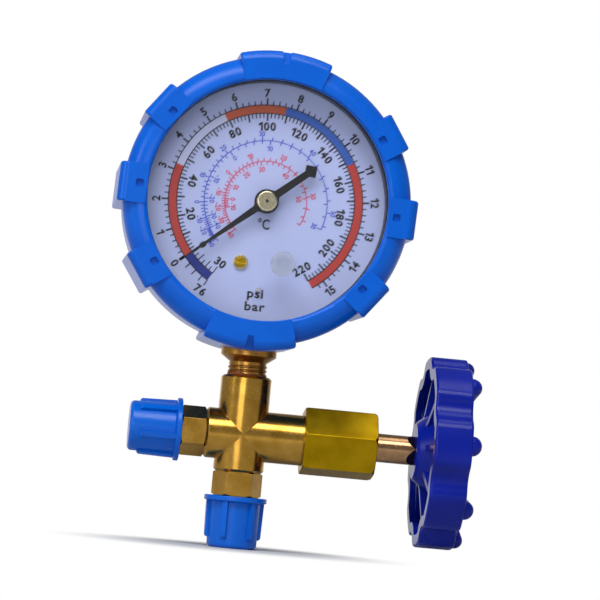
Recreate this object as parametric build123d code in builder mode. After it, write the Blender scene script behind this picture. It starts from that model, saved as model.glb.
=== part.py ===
from build123d import *
from math import atan2, cos, degrees, pi, radians, sin, sqrt, tan
import os

# Single dial manifold gauge: a booted pressure gauge screwed on top of a brass cross valve with
# two capped flare ports and a plastic handwheel. Millimetres. The origin is the centre of the
# lower port's end face, +X points along the valve stem to the handwheel, the dial faces -Y.

os.makedirs("parts", exist_ok=True)

# ---------------------------------------------------------------- driving dimensions
running_gap = 0.05        # radial clearance of a shaft in its hole, and of a mated thread
loose_gap = 0.3           # clearance between parts that only pass one another
cut_past = 1.0            # how far a cut runs beyond the face that it opens
sink = 1.0                # how far a rib runs into what carries it

# valve body
barrel_radius = 7.0
arm_reach = 10.2          # cross centre to the end of the left and lower arms
top_reach = 16.4          # cross centre to the top face
bonnet_reach = 17.0       # cross centre to the shoulder that the bonnet nut meets
spigot_radius = 6.0       # thread under the bonnet nut
spigot_length = 10.0
chamber_radius = 4.5
chamber_floor = -2.5      # the valve seat, along X from the cross centre
chamber_end = 14.0
seat_hole_radius = 1.6
barrel_chamfer = 0.6

# flare ports, 1/4 inch SAE
port_hex_flats = 12.0
port_hex_length = 6.8
port_thread_radius = 5.55  # 7/16-20 UNF
port_thread_length = 12.4
port_cone_length = 2.2
port_relief_length = 1.2
port_relief_depth = 0.75
port_hex_bevel = 0.8
port_bore_radius = 2.4
port_plug_radius = 4.5     # thread screwed into the arm
port_plug_length = 4.4

# dust caps
cap_length = 14.3
cap_grip_gap = 0.1         # bore to the thread crests
cap_end_wall = 1.5
cap_lip_radius = 8.7
cap_lip_length = 1.3
cap_lip_slope = 0.5
cap_lip_round = 0.3
cap_end_round = 1.2
cap_root_radius = 7.15     # body beside the lip, without ribs
cap_end_radius = 6.9
cap_rib_width = 1.5
cap_rib_height = 0.95
cap_rib_taper = 0.25
cap_rib_stop = 2.6         # ribs end this far before the closed end
cap_rib_count = 6
cap_ribs_left = -15.0       # first rib, degrees up from the -Y direction
cap_ribs_bottom = 54.0     # first rib, degrees from +X towards the -Y direction

# bonnet nut and packing
nut_flats = 17.0
nut_length = 20.2
nut_end_wall = 2.0
nut_bevel = 0.5
nut_front_bevel = 0.8      # along X, at the handwheel's side
nut_front_bevel_depth = 0.7
nut_turn = 11.5            # one corner stands this many degrees above the -Y direction
washer_thickness = 1.0
packing_length = 4.4

# valve stem
stem_radius = 4.0
stem_shoulder_radius = 4.4
stem_travel_stop = 3.3     # shoulder to the end of the chamber with the valve shut
disc_radius = 3.4
disc_thickness = 2.0
disc_recess = 1.0
o_ring_radius = 0.7
o_ring_place = 7.0         # along X from the cross centre
square_flats = 5.7
square_taper_length = 2.2
stem_end_gap = 0.4         # stem end to the washer that the wheel's screw presses

# handwheel
hub_start = 48.3           # rear hub face, along X from the cross centre
hub_radius = 8.4
hub_flare_radius = 11.6
hub_flare_length = 4.8
rim_start = 50.6
rim_width = 10.4
rim_radius = 26.6
rim_wall = 3.4
valley_depth = 2.2
valley_radius = 5.0
lobe_count = 8
lobe_round = 4.0
lobe_turn = 6.0            # one lobe stands this many degrees above the -Y direction
web_thickness = 2.4
wheel_rib_thickness = 1.6
nub_start = 16.8
nub_height = 2.6           # where the straight ridge meets its round end
nub_crest_inset = 3.0      # from the foot, at the rim, in to the crest
nub_foot = 26.0
rim_edge_round = 0.7
wheel_rib_drop = 2.0       # ribs stop this far inside the rim's rear edge
wheel_screw_radius = 2.0
wheel_screw_head_radius = 3.6
wheel_screw_head_height = 2.4
wheel_screw_length = 8.0
wheel_screw_end_gap = 1.0
cross_recess_length = 4.2
cross_recess_width = 0.7
wheel_washer_radius = 5.2
wheel_washer_thickness = 0.8
hub_counterbore = 1.0

# gauge neck
neck_thread_radius = 5.15  # 1/8 NPT
neck_thread_length = 12.2
collar_radius = 7.7
collar_cone_length = 1.8
collar_start = 20.2        # cross centre to the foot of the collar
collar_length = 9.3
neck_radius = 6.0
neck_bore_radius = 1.5

# gauge case and its front; heights run from the neck axis towards the dial side
case_radius = 34.5
case_wall = 0.9
case_back = -12.1
case_front = 15.0
bead_depth = 0.9
bead_width = 1.6
case_edge_round = 2.4
dial_height = 10.0         # front of the dial plate
dial_thickness = 0.8
dial_hole_radius = 1.5
dial_edge_gap = 0.3
gasket_thickness = 0.6
gasket_width = 1.5
spacer_wall = 0.6
lens_thickness = 2.0
lens_hole_radius = 2.6
plug_flange_radius = 3.4
plug_flange_thickness = 0.6
plug_dish_radius = 1.8
vent_radius = 4.0
vent_flange_radius = 5.5
vent_flange_thickness = 1.2
vent_inset = 14.5          # case wall to the middle of the vent plug
case_screw_radius = 1.5
case_screw_head_radius = 2.8
case_screw_head_height = 1.4
case_screw_length = 3.8
case_screw_spacing = 7.2

# protective boot
boot_lip_cover = 1.5       # how far the lip reaches in over the lens
boot_lip_thickness = 1.8
boot_lip_round = 1.2
boot_back_round = 2.0
boot_wall = 5.2
boot_draft = 0.8           # narrowing of the outer wall from the shoulder to the back
boot_front_height = 5.2    # lip's front to where the outer wall turns into the front slope
boot_turn = 2.2            # lugs sit turned clockwise on the case, in degrees
boot_back_wall = 1.6
boot_back_cover = 4.5      # how far the back reaches in behind the case
lug_height = 1.4
lug_foot = 0.3             # lip's inner edge to the lug's inner side
lug_face_height = 0.35     # of the lug's flat front over the lip's front
lug_slope_width = 2.3      # flat front to the outer side
lug_slope_height = 2.6
lug_corner_round = 0.7
narrow_lug_width = 10.9
wide_lug_sweep = 36.7
narrow_lug_places = (54.8, 90.3, 126.0)
dimple_inset = 5.7         # lug top to the middle of its dimple
dimple_side = 2.1
dimple_depth = 1.0
dimple_round = 0.5
notch_width = 2.9
notch_inner_width = 1.6
notch_reach = 3.8          # how far the notch runs in over the lug's front
notch_height = 4.4         # its floor slopes down to the lug's outer side

# pointer
pointer_tip_inset = 6.0    # dial's edge to the tip
pointer_tail = 17.0
pointer_thickness = 0.5
pointer_gap = 2.4          # dial front to the back of the pointer
pointer_disc_radius = 3.2
pointer_disc_step = 0.2
pointer_root_width = 2.2
pointer_tip_width = 0.3
pointer_bush_radius = 1.2
pointer_bush_length = 1.8
pointer_tail_width = 1.9
pointer_tail_diamond = 2.18   # half the diagonal of the square at the tail's end
pointer_zero = 219.5       # degrees anticlockwise from +X, seen from the front
cap_radius = 2.85
cap_height = 1.5
cap_dimple_radius = 0.4
cap_edge_round = 0.5

# small things on the dial
zero_screw_place = (-5.47, -17.15)
zero_head_radius = 1.45
zero_head_height = 0.9
zero_slot_width = 0.45
zero_bush_radius = 2.0
zero_bush_height = 0.6
zero_bush_hole = 1.7
zero_shank_radius = 0.8
lens_plug_place = (5.56, -17.1)
stop_pin_radius = 0.6
stop_pin_height = 2.0
stop_pin_inset = 9.0       # dial's edge to the stop pin

# movement
gear_module = 0.4
pinion_teeth = 8
sector_full_teeth = 64
pressure_angle = 20.0
tooth_root_gap = 0.1
gaps_below = 7             # tooth gaps on the pressure side of the meshing one
gaps_above = 1
fan_window_inset = 7.0
fan_window_inner = 6.0
fan_window_outer = 10.4
pin_head_height = 0.25
tooth_slack = 0.12         # taken off each tooth's width on the pitch circle
sector_angle = -100.7      # direction from the dial centre to the sector's arbor
plate_thickness = 1.0
back_plate_height = 1.6    # back face of the rear plate, against the socket block
plate_spacing = 4.6
plate_round = 2.8
arbor_radius = 0.8
pinion_length = 2.0
pinion_height = 3.0        # back end of the pinion's teeth
sector_height = 3.6
sector_thickness = 1.0
sector_hub_radius = 2.2
tail_length = 6.0
tail_angle = -65.0
link_height = 4.8
link_thickness = 0.8
link_eye_radius = 1.5
link_width = 1.6
link_pin_radius = 0.6
link_pin_head_radius = 1.0
tip_pin_head_radius = 1.2
open_pivot_gap = 0.25      # the link's hole at the tube tip takes the arc's small error
pillar_radius = 1.6
pillar_places = ((-12.5, -9.0), (11.5, -8.5), (0.0, 8.6))
plate_screw_radius = 0.8
plate_screw_head_radius = 1.5
plate_screw_head_height = 0.6
foot_spacing = 8.4
foot_inset = 5.5           # case wall to the movement's two feet
foot_round = 2.2
foot_screw_length = 4.0
plate_screw_length = 3.0
hairspring_height = 5.8
hairspring_width = 0.8
hairspring_strip = 0.16
hairspring_inner = 1.42
hairspring_pitch = 0.9
hairspring_half_turns = 7
stud_head_height = 0.2
collet_radius = 1.3

# Bourdon tube
tube_inset = 10.0          # case wall to the coiled centre line
tube_thickness = 3.4
tube_depth = 9.0
tube_wall = 0.4
tube_start = -101.0        # in the socket block, degrees anticlockwise from +X
tube_sweep = 307.0         # clockwise, seen from the front
tube_height = -3.5         # middle of the tube's depth
tip_pin_inset = 2.0        # centre line to the pin on the tube's tip, inwards
tip_block_length = 3.85    # along the tube's centre line
link_pin_seat = 2.0
tube_seat_length = 12.8     # of the slot that the tube's root is brazed into
block_width = 13.0
block_height = 11.7
block_inset = 2.0          # case wall to the block's lower end

# ---------------------------------------------------------------- derived places
port_reach = arm_reach + port_hex_length + port_thread_length
collar_end = collar_start + collar_length
gauge_centre = collar_end + loose_gap + case_radius
cross = Vector(0, 0, port_reach)
dial_centre = cross + Vector(0, 0, gauge_centre)
axis_x = Axis(cross, (1, 0, 0))
axis_z = Axis(cross, (0, 0, 1))
dial_axis = Axis(dial_centre, (0, 1, 0))
stem_profile = Plane(origin=cross, x_dir=(1, 0, 0), z_dir=(0, 0, 1))     # x along X, y radial
neck_profile = Plane(origin=cross, x_dir=(1, 0, 0), z_dir=(0, -1, 0))    # x radial, y along Z
dial_plane = Plane(origin=dial_centre, x_dir=(1, 0, 0), z_dir=(0, -1, 0))
left_port = Plane(origin=cross, x_dir=(0, -1, 0), z_dir=(-1, 0, 0))
bottom_port = Plane(origin=cross, x_dir=(1, 0, 0), z_dir=(0, 0, -1))

hex_end = arm_reach + port_hex_length
nut_end = bonnet_reach + nut_length
spigot_end = bonnet_reach + spigot_length
packing_start = spigot_end + washer_thickness
gland_start = packing_start + packing_length
gland_end = nut_end - nut_end_wall
stem_start = chamber_floor + disc_thickness - disc_recess
o_ring_centre = chamber_radius - o_ring_radius - running_gap
shoulder_end = chamber_end - stem_travel_stop
rim_end = rim_start + rim_width
nub_crest = nub_foot - nub_crest_inset
web_start = rim_end - web_thickness
stem_end = rim_end - hub_counterbore - stem_end_gap
lens_back = case_front + gasket_thickness
lens_front = lens_back + lens_thickness
boot_front = lens_front + boot_lip_thickness
boot_inner = case_radius + running_gap
boot_lip_radius = case_radius - boot_lip_cover
boot_radius = case_radius + boot_wall
boot_shoulder = boot_front - boot_front_height
boot_back = case_back - boot_back_wall
boot_back_radius = case_radius - boot_back_cover
lug_radius = boot_radius + lug_height
lug_inner_radius = boot_lip_radius + lug_foot
lug_front = boot_front + lug_face_height
dimple_place = lug_radius - dimple_inset
case_floor = case_back + case_wall
dial_radius = case_radius - case_wall - dial_edge_gap
pointer_tip = dial_radius - pointer_tip_inset
stop_pin_reach = dial_radius - stop_pin_inset
vent_reach = case_radius - vent_inset
block_bottom = block_inset - case_radius
block_top = block_bottom + block_height
tube_radius = case_radius - tube_inset
tip_block_sweep = degrees(tip_block_length / tube_radius)
tube_seat_sweep = degrees(tube_seat_length / tube_radius)
tip_pin_radius = tube_radius - tip_pin_inset
foot_places = [(side * foot_spacing / 2, foot_inset - case_radius) for side in (-1, 1)]
case_screw_places = [(side * case_screw_spacing / 2, (block_bottom + block_top) / 2) for side in (-1, 1)]
bead_front = dial_height - dial_thickness
pointer_cap_back = dial_height + pointer_gap + pointer_thickness + pointer_disc_step
hairspring_outer = hairspring_inner + (hairspring_half_turns - 1) * hairspring_pitch / 2
pointer_back = dial_height + pointer_gap
rear_plate_front = back_plate_height + plate_thickness
front_plate_back = rear_plate_front + plate_spacing
front_plate_front = front_plate_back + plate_thickness
pinion_pitch_radius = gear_module * pinion_teeth / 2
sector_pitch_radius = gear_module * sector_full_teeth / 2
gear_distance = pinion_pitch_radius + sector_pitch_radius
tube_end = tube_start - tube_sweep
round_middle = 1 - sqrt(0.5)   # middle of a quarter round, as a share of its radius


def polar(radius, angle):
    """A point in a plane at an angle in degrees."""
    return Vector(radius * cos(radians(angle)), radius * sin(radians(angle)))


sector_place = polar(gear_distance, sector_angle)
tube_root = polar(tube_radius, tube_start)
tip_block_centre = polar(tube_radius, tube_end - tip_block_sweep / 2)
tail_pin = sector_place + polar(tail_length, tail_angle)
tip_pin = polar(tip_pin_radius, tube_end)
link_angle = degrees(atan2((tip_pin - tail_pin).Y, (tip_pin - tail_pin).X))
stud_place = polar(hairspring_outer + hairspring_strip / 2 + plate_screw_radius + running_gap / 2, 180)


def radial_plane(angle):
    """The plane through the dial axis at an angle: x is the radius, y the height to the front."""
    c, s = cos(radians(angle)), sin(radians(angle))
    return Plane(origin=dial_centre, x_dir=(c, 0, s), z_dir=(s, 0, -c))


def stem_plane(reach, turn=0.0):
    """A plane across the stem, with its x axis turned up from the -Y direction."""
    c, s = cos(radians(turn)), sin(radians(turn))
    return Plane(origin=cross + Vector(reach, 0, 0), x_dir=(0, -c, s), z_dir=(1, 0, 0))


def stem_side(turn):
    """A plane through the stem axis: x runs along the stem, y is the radius at that turn."""
    c, s = cos(radians(turn)), sin(radians(turn))
    return Plane(origin=cross, x_dir=(1, 0, 0), z_dir=(0, -s, -c))


# ---------------------------------------------------------------- valve body
with BuildPart() as valve_body:
    with BuildSketch(stem_profile):
        with BuildLine():
            Polyline(
                (-arm_reach, 0),
                (-arm_reach, barrel_radius - barrel_chamfer),
                (-arm_reach + barrel_chamfer, barrel_radius),
                (bonnet_reach, barrel_radius),
                (bonnet_reach, spigot_radius),
                (spigot_end - barrel_chamfer, spigot_radius),
                (spigot_end, spigot_radius - barrel_chamfer),
                (spigot_end, 0),
                close=True,
            )
        make_face()
    revolve(axis=axis_x)
    with BuildSketch(neck_profile):
        with BuildLine():
            Polyline(
                (0, -arm_reach),
                (barrel_radius - barrel_chamfer, -arm_reach),
                (barrel_radius, -arm_reach + barrel_chamfer),
                (barrel_radius, top_reach - barrel_chamfer),
                (barrel_radius - barrel_chamfer, top_reach),
                (0, top_reach),
                close=True,
            )
        make_face()
    revolve(axis=axis_z)
    # stem chamber from the right, seat hole and left port thread
    with BuildSketch(stem_plane(chamber_floor)):
        Circle(chamber_radius)
    extrude(amount=chamber_end - chamber_floor, mode=Mode.SUBTRACT)
    with BuildSketch(stem_plane(-arm_reach)):
        Circle(seat_hole_radius)
    extrude(amount=arm_reach, mode=Mode.SUBTRACT)
    with BuildSketch(stem_plane(-arm_reach)):
        Circle(port_plug_radius + running_gap)
    extrude(amount=port_plug_length, mode=Mode.SUBTRACT)
    with BuildSketch(stem_plane(chamber_end)):
        Circle(stem_radius + running_gap)
    extrude(amount=spigot_end - chamber_end, mode=Mode.SUBTRACT)
    # gauge thread at the top, lower port thread, and the passage that joins them
    with BuildSketch(Plane.XY.offset(port_reach + top_reach)):
        Circle(neck_thread_radius + running_gap)
    extrude(amount=collar_start - top_reach - neck_thread_length, mode=Mode.SUBTRACT)
    with BuildSketch(Plane.XY.offset(port_reach - arm_reach)):
        Circle(port_plug_radius + running_gap)
    extrude(amount=port_plug_length, mode=Mode.SUBTRACT)
    with BuildSketch(Plane.XY.offset(port_reach - arm_reach)):
        Circle(seat_hole_radius)
    extrude(amount=arm_reach + top_reach, mode=Mode.SUBTRACT)
valve_body.part.label = "valve_body"


# ---------------------------------------------------------------- flare ports and dust caps
def port_side(port, turn=0.0):
    """A plane through a port's axis: x is the radius at that turn, y runs outwards."""
    radius = port.x_dir * cos(radians(turn)) + port.y_dir * sin(radians(turn))
    return Plane(origin=port.origin, x_dir=radius, z_dir=radius.cross(port.z_dir))


def port_nipple(port, hex_turn):
    """A hexagon with a flare thread outside and a thread into the arm."""
    port_axis = Axis(port.origin, port.z_dir)
    corner = port_hex_flats / sqrt(3)
    relief = port_thread_radius - port_relief_depth
    with BuildPart() as nipple:
        with BuildSketch(port.offset(arm_reach)):
            RegularPolygon(port_hex_flats / 2, 6, major_radius=False, rotation=hex_turn)
        extrude(amount=port_hex_length)
        with BuildSketch(port_side(port)):
            with BuildLine():
                Polyline(
                    (0, arm_reach),
                    (corner - port_hex_bevel, arm_reach),
                    (corner, arm_reach + port_hex_bevel / 2),
                    (corner, hex_end - port_hex_bevel / 2),
                    (corner - port_hex_bevel, hex_end),
                    (0, hex_end),
                    close=True,
                )
            make_face()
        revolve(axis=port_axis, mode=Mode.INTERSECT)
        with BuildSketch(port_side(port)):
            with BuildLine():
                Polyline(
                    (0, arm_reach - port_plug_length),
                    (port_plug_radius, arm_reach - port_plug_length),
                    (port_plug_radius, arm_reach),
                    (port_plug_radius, hex_end),
                    (relief, hex_end),
                    (relief, hex_end + port_relief_length),
                    (port_thread_radius, hex_end + port_relief_length),
                    (port_thread_radius, port_reach - port_cone_length),
                    (port_thread_radius - port_cone_length, port_reach),
                    (0, port_reach),
                    close=True,
                )
            make_face()
        revolve(axis=port_axis)
        with BuildSketch(port.offset(arm_reach - port_plug_length)):
            Circle(port_bore_radius)
        extrude(amount=port_reach, mode=Mode.SUBTRACT)
    return nipple.part


def dust_cap(port, first_rib):
    """A push-on cap with a lip at its open end and ribs along its body."""
    port_axis = Axis(port.origin, port.z_dir)
    start = hex_end + running_gap
    end = start + cap_length
    lip_end = start + cap_lip_length
    rib_end = end - cap_rib_stop
    rib_radius = cap_root_radius + cap_rib_height
    with BuildPart() as cap:
        with BuildSketch(port_side(port)):
            with BuildLine():
                Polyline(
                    (0, start),
                    (cap_lip_radius, start),
                    (cap_lip_radius, lip_end),
                    (cap_root_radius, lip_end + cap_lip_slope),
                    (cap_end_radius, end),
                    (0, end),
                    close=True,
                )
            make_face()
        revolve(axis=port_axis)
        fillet(cap.edges().sort_by(port_axis)[-1], cap_end_round)
        fillet(cap.edges().filter_by(GeomType.CIRCLE).sort_by(SortBy.RADIUS)[-2:], cap_lip_round)
        for rib in range(cap_rib_count):
            with BuildSketch(port_side(port, first_rib + rib * 360 / cap_rib_count)):
                with BuildLine():
                    Line((0, lip_end), (rib_radius, lip_end))
                    Line((rib_radius, lip_end), (rib_radius - cap_rib_taper, rib_end - cap_rib_height))
                    ThreePointArc(
                        (rib_radius - cap_rib_taper, rib_end - cap_rib_height),
                        (
                            rib_radius - cap_rib_taper - round_middle * cap_rib_height,
                            rib_end - round_middle * cap_rib_height,
                        ),
                        (rib_radius - cap_rib_taper - cap_rib_height, rib_end),
                    )
                    Line((rib_radius - cap_rib_taper - cap_rib_height, rib_end), (0, rib_end))
                    Line((0, rib_end), (0, lip_end))
                make_face()
            extrude(amount=cap_rib_width / 2, both=True)
        with BuildSketch(port.offset(start)):
            Circle(port_thread_radius + cap_grip_gap)
        extrude(amount=cap_length - cap_end_wall, mode=Mode.SUBTRACT)
    return cap.part


left_nipple = port_nipple(left_port, 30)
left_nipple.label = "left_port_nipple"
bottom_nipple = port_nipple(bottom_port, 0)
bottom_nipple.label = "bottom_port_nipple"
left_cap = dust_cap(left_port, cap_ribs_left)
left_cap.label = "left_port_cap"
bottom_cap = dust_cap(bottom_port, cap_ribs_bottom)
bottom_cap.label = "bottom_port_cap"

# ---------------------------------------------------------------- bonnet nut and packing
with BuildPart() as bonnet_nut:
    nut_corner = nut_flats / sqrt(3)
    with BuildSketch(stem_plane(bonnet_reach, nut_turn)):
        RegularPolygon(nut_flats / 2, 6, major_radius=False)
    extrude(amount=nut_length)
    with BuildSketch(stem_profile):
        with BuildLine():
            Polyline(
                (bonnet_reach, 0),
                (bonnet_reach, nut_corner - nut_bevel),
                (bonnet_reach + nut_bevel, nut_corner),
                (nut_end - nut_front_bevel, nut_corner),
                (nut_end, nut_corner - nut_front_bevel_depth),
                (nut_end, 0),
                close=True,
            )
        make_face()
    revolve(axis=axis_x, mode=Mode.INTERSECT)
    with BuildSketch(stem_plane(bonnet_reach)):
        Circle(spigot_radius + running_gap)
    extrude(amount=nut_length - nut_end_wall, mode=Mode.SUBTRACT)
    with BuildSketch(stem_plane(bonnet_reach)):
        Circle(stem_radius + 2 * running_gap)
    extrude(amount=nut_length, mode=Mode.SUBTRACT)
bonnet_nut.part.label = "bonnet_nut"


def stem_ring(start, end, outer, inner):
    """A plain ring on the stem."""
    with BuildPart() as ring:
        with BuildSketch(stem_plane(start)):
            Circle(outer)
            Circle(inner, mode=Mode.SUBTRACT)
        extrude(amount=end - start)
    return ring.part


gland_washer = stem_ring(spigot_end, packing_start, spigot_radius, stem_radius + 2 * running_gap)
gland_washer.label = "gland_washer"
stem_packing = stem_ring(packing_start, gland_start, spigot_radius, stem_radius + running_gap)
stem_packing.label = "stem_packing"
packing_gland = stem_ring(gland_start, gland_end, spigot_radius, stem_radius + 2 * running_gap)
packing_gland.label = "packing_gland"

# ---------------------------------------------------------------- valve stem
with BuildPart() as valve_stem:
    with BuildSketch(stem_profile):
        with BuildLine():
            Polyline(
                (stem_start, 0),
                (stem_start, stem_shoulder_radius - barrel_chamfer),
                (stem_start + barrel_chamfer, stem_shoulder_radius),
                (shoulder_end, stem_shoulder_radius),
                (shoulder_end, stem_radius),
                (stem_end, stem_radius),
                (stem_end, 0),
                close=True,
            )
        make_face()
    revolve(axis=axis_x)
    with BuildSketch(stem_plane(stem_start)):
        Circle(disc_radius + running_gap)
    extrude(amount=disc_recess, mode=Mode.SUBTRACT)
    with BuildSketch(stem_profile):
        with Locations((o_ring_place, o_ring_centre)):
            Rectangle(2 * o_ring_radius + 4 * running_gap, 2 * o_ring_radius + 2 * running_gap)
    revolve(axis=axis_x, mode=Mode.SUBTRACT)
    # four flats that run out towards the bonnet
    for corner in range(4):
        with BuildSketch(stem_side(lobe_turn + 45 + 90 * corner)):
            with BuildLine():
                Polyline(
                    (hub_start - square_taper_length, stem_radius),
                    (hub_start, square_flats / 2),
                    (stem_end, square_flats / 2),
                    (stem_end, stem_radius + barrel_chamfer),
                    (hub_start - square_taper_length, stem_radius + barrel_chamfer),
                    close=True,
                )
            make_face()
        extrude(amount=stem_radius, both=True, mode=Mode.SUBTRACT)
    with BuildSketch(stem_plane(stem_end)):
        Circle(wheel_screw_radius)
    extrude(amount=-wheel_screw_length, mode=Mode.SUBTRACT)
valve_stem.part.label = "valve_stem"

with BuildPart() as stem_o_ring:
    with BuildSketch(stem_profile):
        with Locations((o_ring_place, o_ring_centre)):
            Circle(o_ring_radius)
    revolve(axis=axis_x)
stem_o_ring.part.label = "stem_o_ring"

with BuildPart() as seat_disc:
    with BuildSketch(stem_plane(chamber_floor)):
        Circle(disc_radius)
    extrude(amount=disc_thickness)
seat_disc.part.label = "seat_disc"

# ---------------------------------------------------------------- handwheel
with BuildPart() as handwheel:
    with BuildSketch(stem_plane(rim_start, lobe_turn)) as rim_outline:
        Circle(rim_radius)
        with PolarLocations(rim_radius - valley_depth + valley_radius, lobe_count, 180 / lobe_count):
            Circle(valley_radius, mode=Mode.SUBTRACT)
        fillet(rim_outline.vertices(), lobe_round)
    extrude(amount=rim_width)
    fillet(handwheel.faces().filter_by(Axis.X).edges(), rim_edge_round)
    with BuildSketch(stem_plane(rim_start, lobe_turn)) as rim_hollow:
        Circle(rim_radius)
        with PolarLocations(rim_radius - valley_depth + valley_radius, lobe_count, 180 / lobe_count):
            Circle(valley_radius, mode=Mode.SUBTRACT)
        fillet(rim_hollow.vertices(), lobe_round)
        offset(amount=-rim_wall, mode=Mode.REPLACE)
    extrude(amount=rim_width - web_thickness, mode=Mode.SUBTRACT)
    # hub that flares towards the web
    with BuildSketch(stem_profile):
        with BuildLine():
            Polyline(
                (hub_start, 0),
                (hub_start, hub_radius - rim_edge_round),
                (hub_start + rim_edge_round, hub_radius),
                (hub_start + hub_flare_length, hub_flare_radius),
                (web_start + web_thickness / 2, hub_flare_radius + rim_edge_round),
                (web_start + web_thickness / 2, 0),
                close=True,
            )
        make_face()
    revolve(axis=axis_x)
    # one thin rib from the hub to the inside of each lobe
    for lobe in range(lobe_count):
        with BuildSketch(stem_side(lobe_turn + lobe * 360 / lobe_count)):
            with BuildLine():
                Polyline(
                    (hub_start + 2 * rim_edge_round, hub_radius - sink),
                    (hub_start + hub_flare_length / 2, hub_flare_radius - sink),
                    (rim_start + wheel_rib_drop, rim_radius - rim_wall + sink),
                    (web_start + sink, rim_radius - rim_wall + sink),
                    (web_start + sink, hub_radius - sink),
                    close=True,
                )
            make_face()
        extrude(amount=wheel_rib_thickness / 2, both=True)
    # teardrop finger nubs on the outer face, one on each lobe
    for lobe in range(lobe_count):
        nub_plane = stem_side(lobe_turn + lobe * 360 / lobe_count)
        with BuildSketch(nub_plane):
            with BuildLine():
                Line((rim_end, nub_start), (rim_end + nub_height, nub_crest))
                TangentArc(
                    (rim_end + nub_height, nub_crest),
                    (rim_end, nub_foot),
                    tangent=(nub_height, nub_crest - nub_start),
                )
                Line((rim_end, nub_foot), (rim_end, nub_start))
            make_face()
        revolve(axis=Axis(nub_plane.from_local_coords((rim_end, 0, 0)), nub_plane.y_dir))
    # square drive hole and the recess for the screw's washer
    with BuildSketch(stem_plane(hub_start, lobe_turn + 45)):
        Rectangle(square_flats + 2 * running_gap, square_flats + 2 * running_gap)
    extrude(amount=rim_end - hub_start, mode=Mode.SUBTRACT)
    with BuildSketch(stem_plane(rim_end)):
        Circle(wheel_washer_radius + loose_gap)
    extrude(amount=-hub_counterbore, mode=Mode.SUBTRACT)
handwheel.part.label = "handwheel"

with BuildPart() as wheel_washer:
    with BuildSketch(stem_plane(rim_end - hub_counterbore)):
        Circle(wheel_washer_radius)
        Circle(wheel_screw_radius + running_gap, mode=Mode.SUBTRACT)
    extrude(amount=wheel_washer_thickness)
wheel_washer.part.label = "wheel_washer"

with BuildPart() as wheel_screw:
    head_start = rim_end - hub_counterbore + wheel_washer_thickness
    with BuildSketch(stem_plane(head_start)):
        Circle(wheel_screw_head_radius)
    extrude(amount=wheel_screw_head_height)
    fillet(wheel_screw.edges().sort_by(Axis.X)[-1], wheel_screw_head_height / 2)
    with BuildSketch(stem_plane(head_start + wheel_screw_head_height)):
        Rectangle(cross_recess_width, cross_recess_length)
        Rectangle(cross_recess_length, cross_recess_width)
    extrude(amount=-wheel_screw_head_height / 2, mode=Mode.SUBTRACT)
    with BuildSketch(stem_plane(head_start)):
        Circle(wheel_screw_radius - running_gap)
    extrude(amount=-(head_start - stem_end + wheel_screw_length - wheel_screw_end_gap))
wheel_screw.part.label = "wheel_screw"

# ---------------------------------------------------------------- gauge socket
with BuildPart() as gauge_socket:
    with BuildSketch(neck_profile):
        with BuildLine():
            Polyline(
                (0, collar_start - neck_thread_length),
                (neck_thread_radius - barrel_chamfer, collar_start - neck_thread_length),
                (neck_thread_radius, collar_start - neck_thread_length + barrel_chamfer),
                (neck_thread_radius, collar_start),
                (collar_radius, collar_start + collar_cone_length),
                (collar_radius, collar_end),
                (neck_radius, collar_end),
                (neck_radius, gauge_centre + block_bottom),
                (0, gauge_centre + block_bottom),
                close=True,
            )
        make_face()
    revolve(axis=axis_z)
    with BuildSketch(dial_plane.offset(back_plate_height)):
        with Locations((0, (block_bottom + block_top) / 2)):
            Rectangle(block_width, block_top - block_bottom)
    extrude(amount=-(back_plate_height - case_floor))
    # passage up the neck and across to the tube's root, which is brazed into a curved slot
    with BuildSketch(Plane.XY.offset(port_reach + collar_start - neck_thread_length)):
        Circle(neck_bore_radius)
    extrude(amount=gauge_centre + tube_root.Y - collar_start + neck_thread_length, mode=Mode.SUBTRACT)
    tube_root_plane = Plane(dial_centre + Vector(0, 0, tube_root.Y), x_dir=(0, 1, 0), z_dir=(-1, 0, 0))
    with BuildSketch(tube_root_plane):
        Circle(neck_bore_radius)
    extrude(amount=-tube_root.X + tube_wall, mode=Mode.SUBTRACT)
    with BuildSketch(radial_plane(tube_start)):
        with Locations((tube_radius, tube_height)):
            SlotOverall(tube_depth + 2 * running_gap, tube_thickness + 2 * running_gap, rotation=90)
    revolve(axis=dial_axis, revolution_arc=tube_seat_sweep, mode=Mode.SUBTRACT)
    # threads for the movement's two feet and for the two case screws
    with BuildSketch(dial_plane.offset(back_plate_height)):
        with Locations(*foot_places):
            Circle(plate_screw_radius + running_gap)
    extrude(amount=-foot_screw_length, mode=Mode.SUBTRACT)
    with BuildSketch(dial_plane.offset(case_floor)):
        with Locations(*case_screw_places):
            Circle(case_screw_radius + running_gap)
    extrude(amount=case_screw_length - case_wall, mode=Mode.SUBTRACT)
gauge_socket.part.label = "gauge_socket"

# ---------------------------------------------------------------- Bourdon tube and its tip
with BuildPart() as bourdon_tube:
    with BuildSketch(radial_plane(tube_start)):
        with Locations((tube_radius, tube_height)):
            SlotOverall(tube_depth, tube_thickness, rotation=90)
            SlotOverall(
                tube_depth - 2 * tube_wall, tube_thickness - 2 * tube_wall, rotation=90, mode=Mode.SUBTRACT
            )
    revolve(axis=dial_axis, revolution_arc=tube_sweep)
bourdon_tube.part.label = "bourdon_tube"

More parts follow.
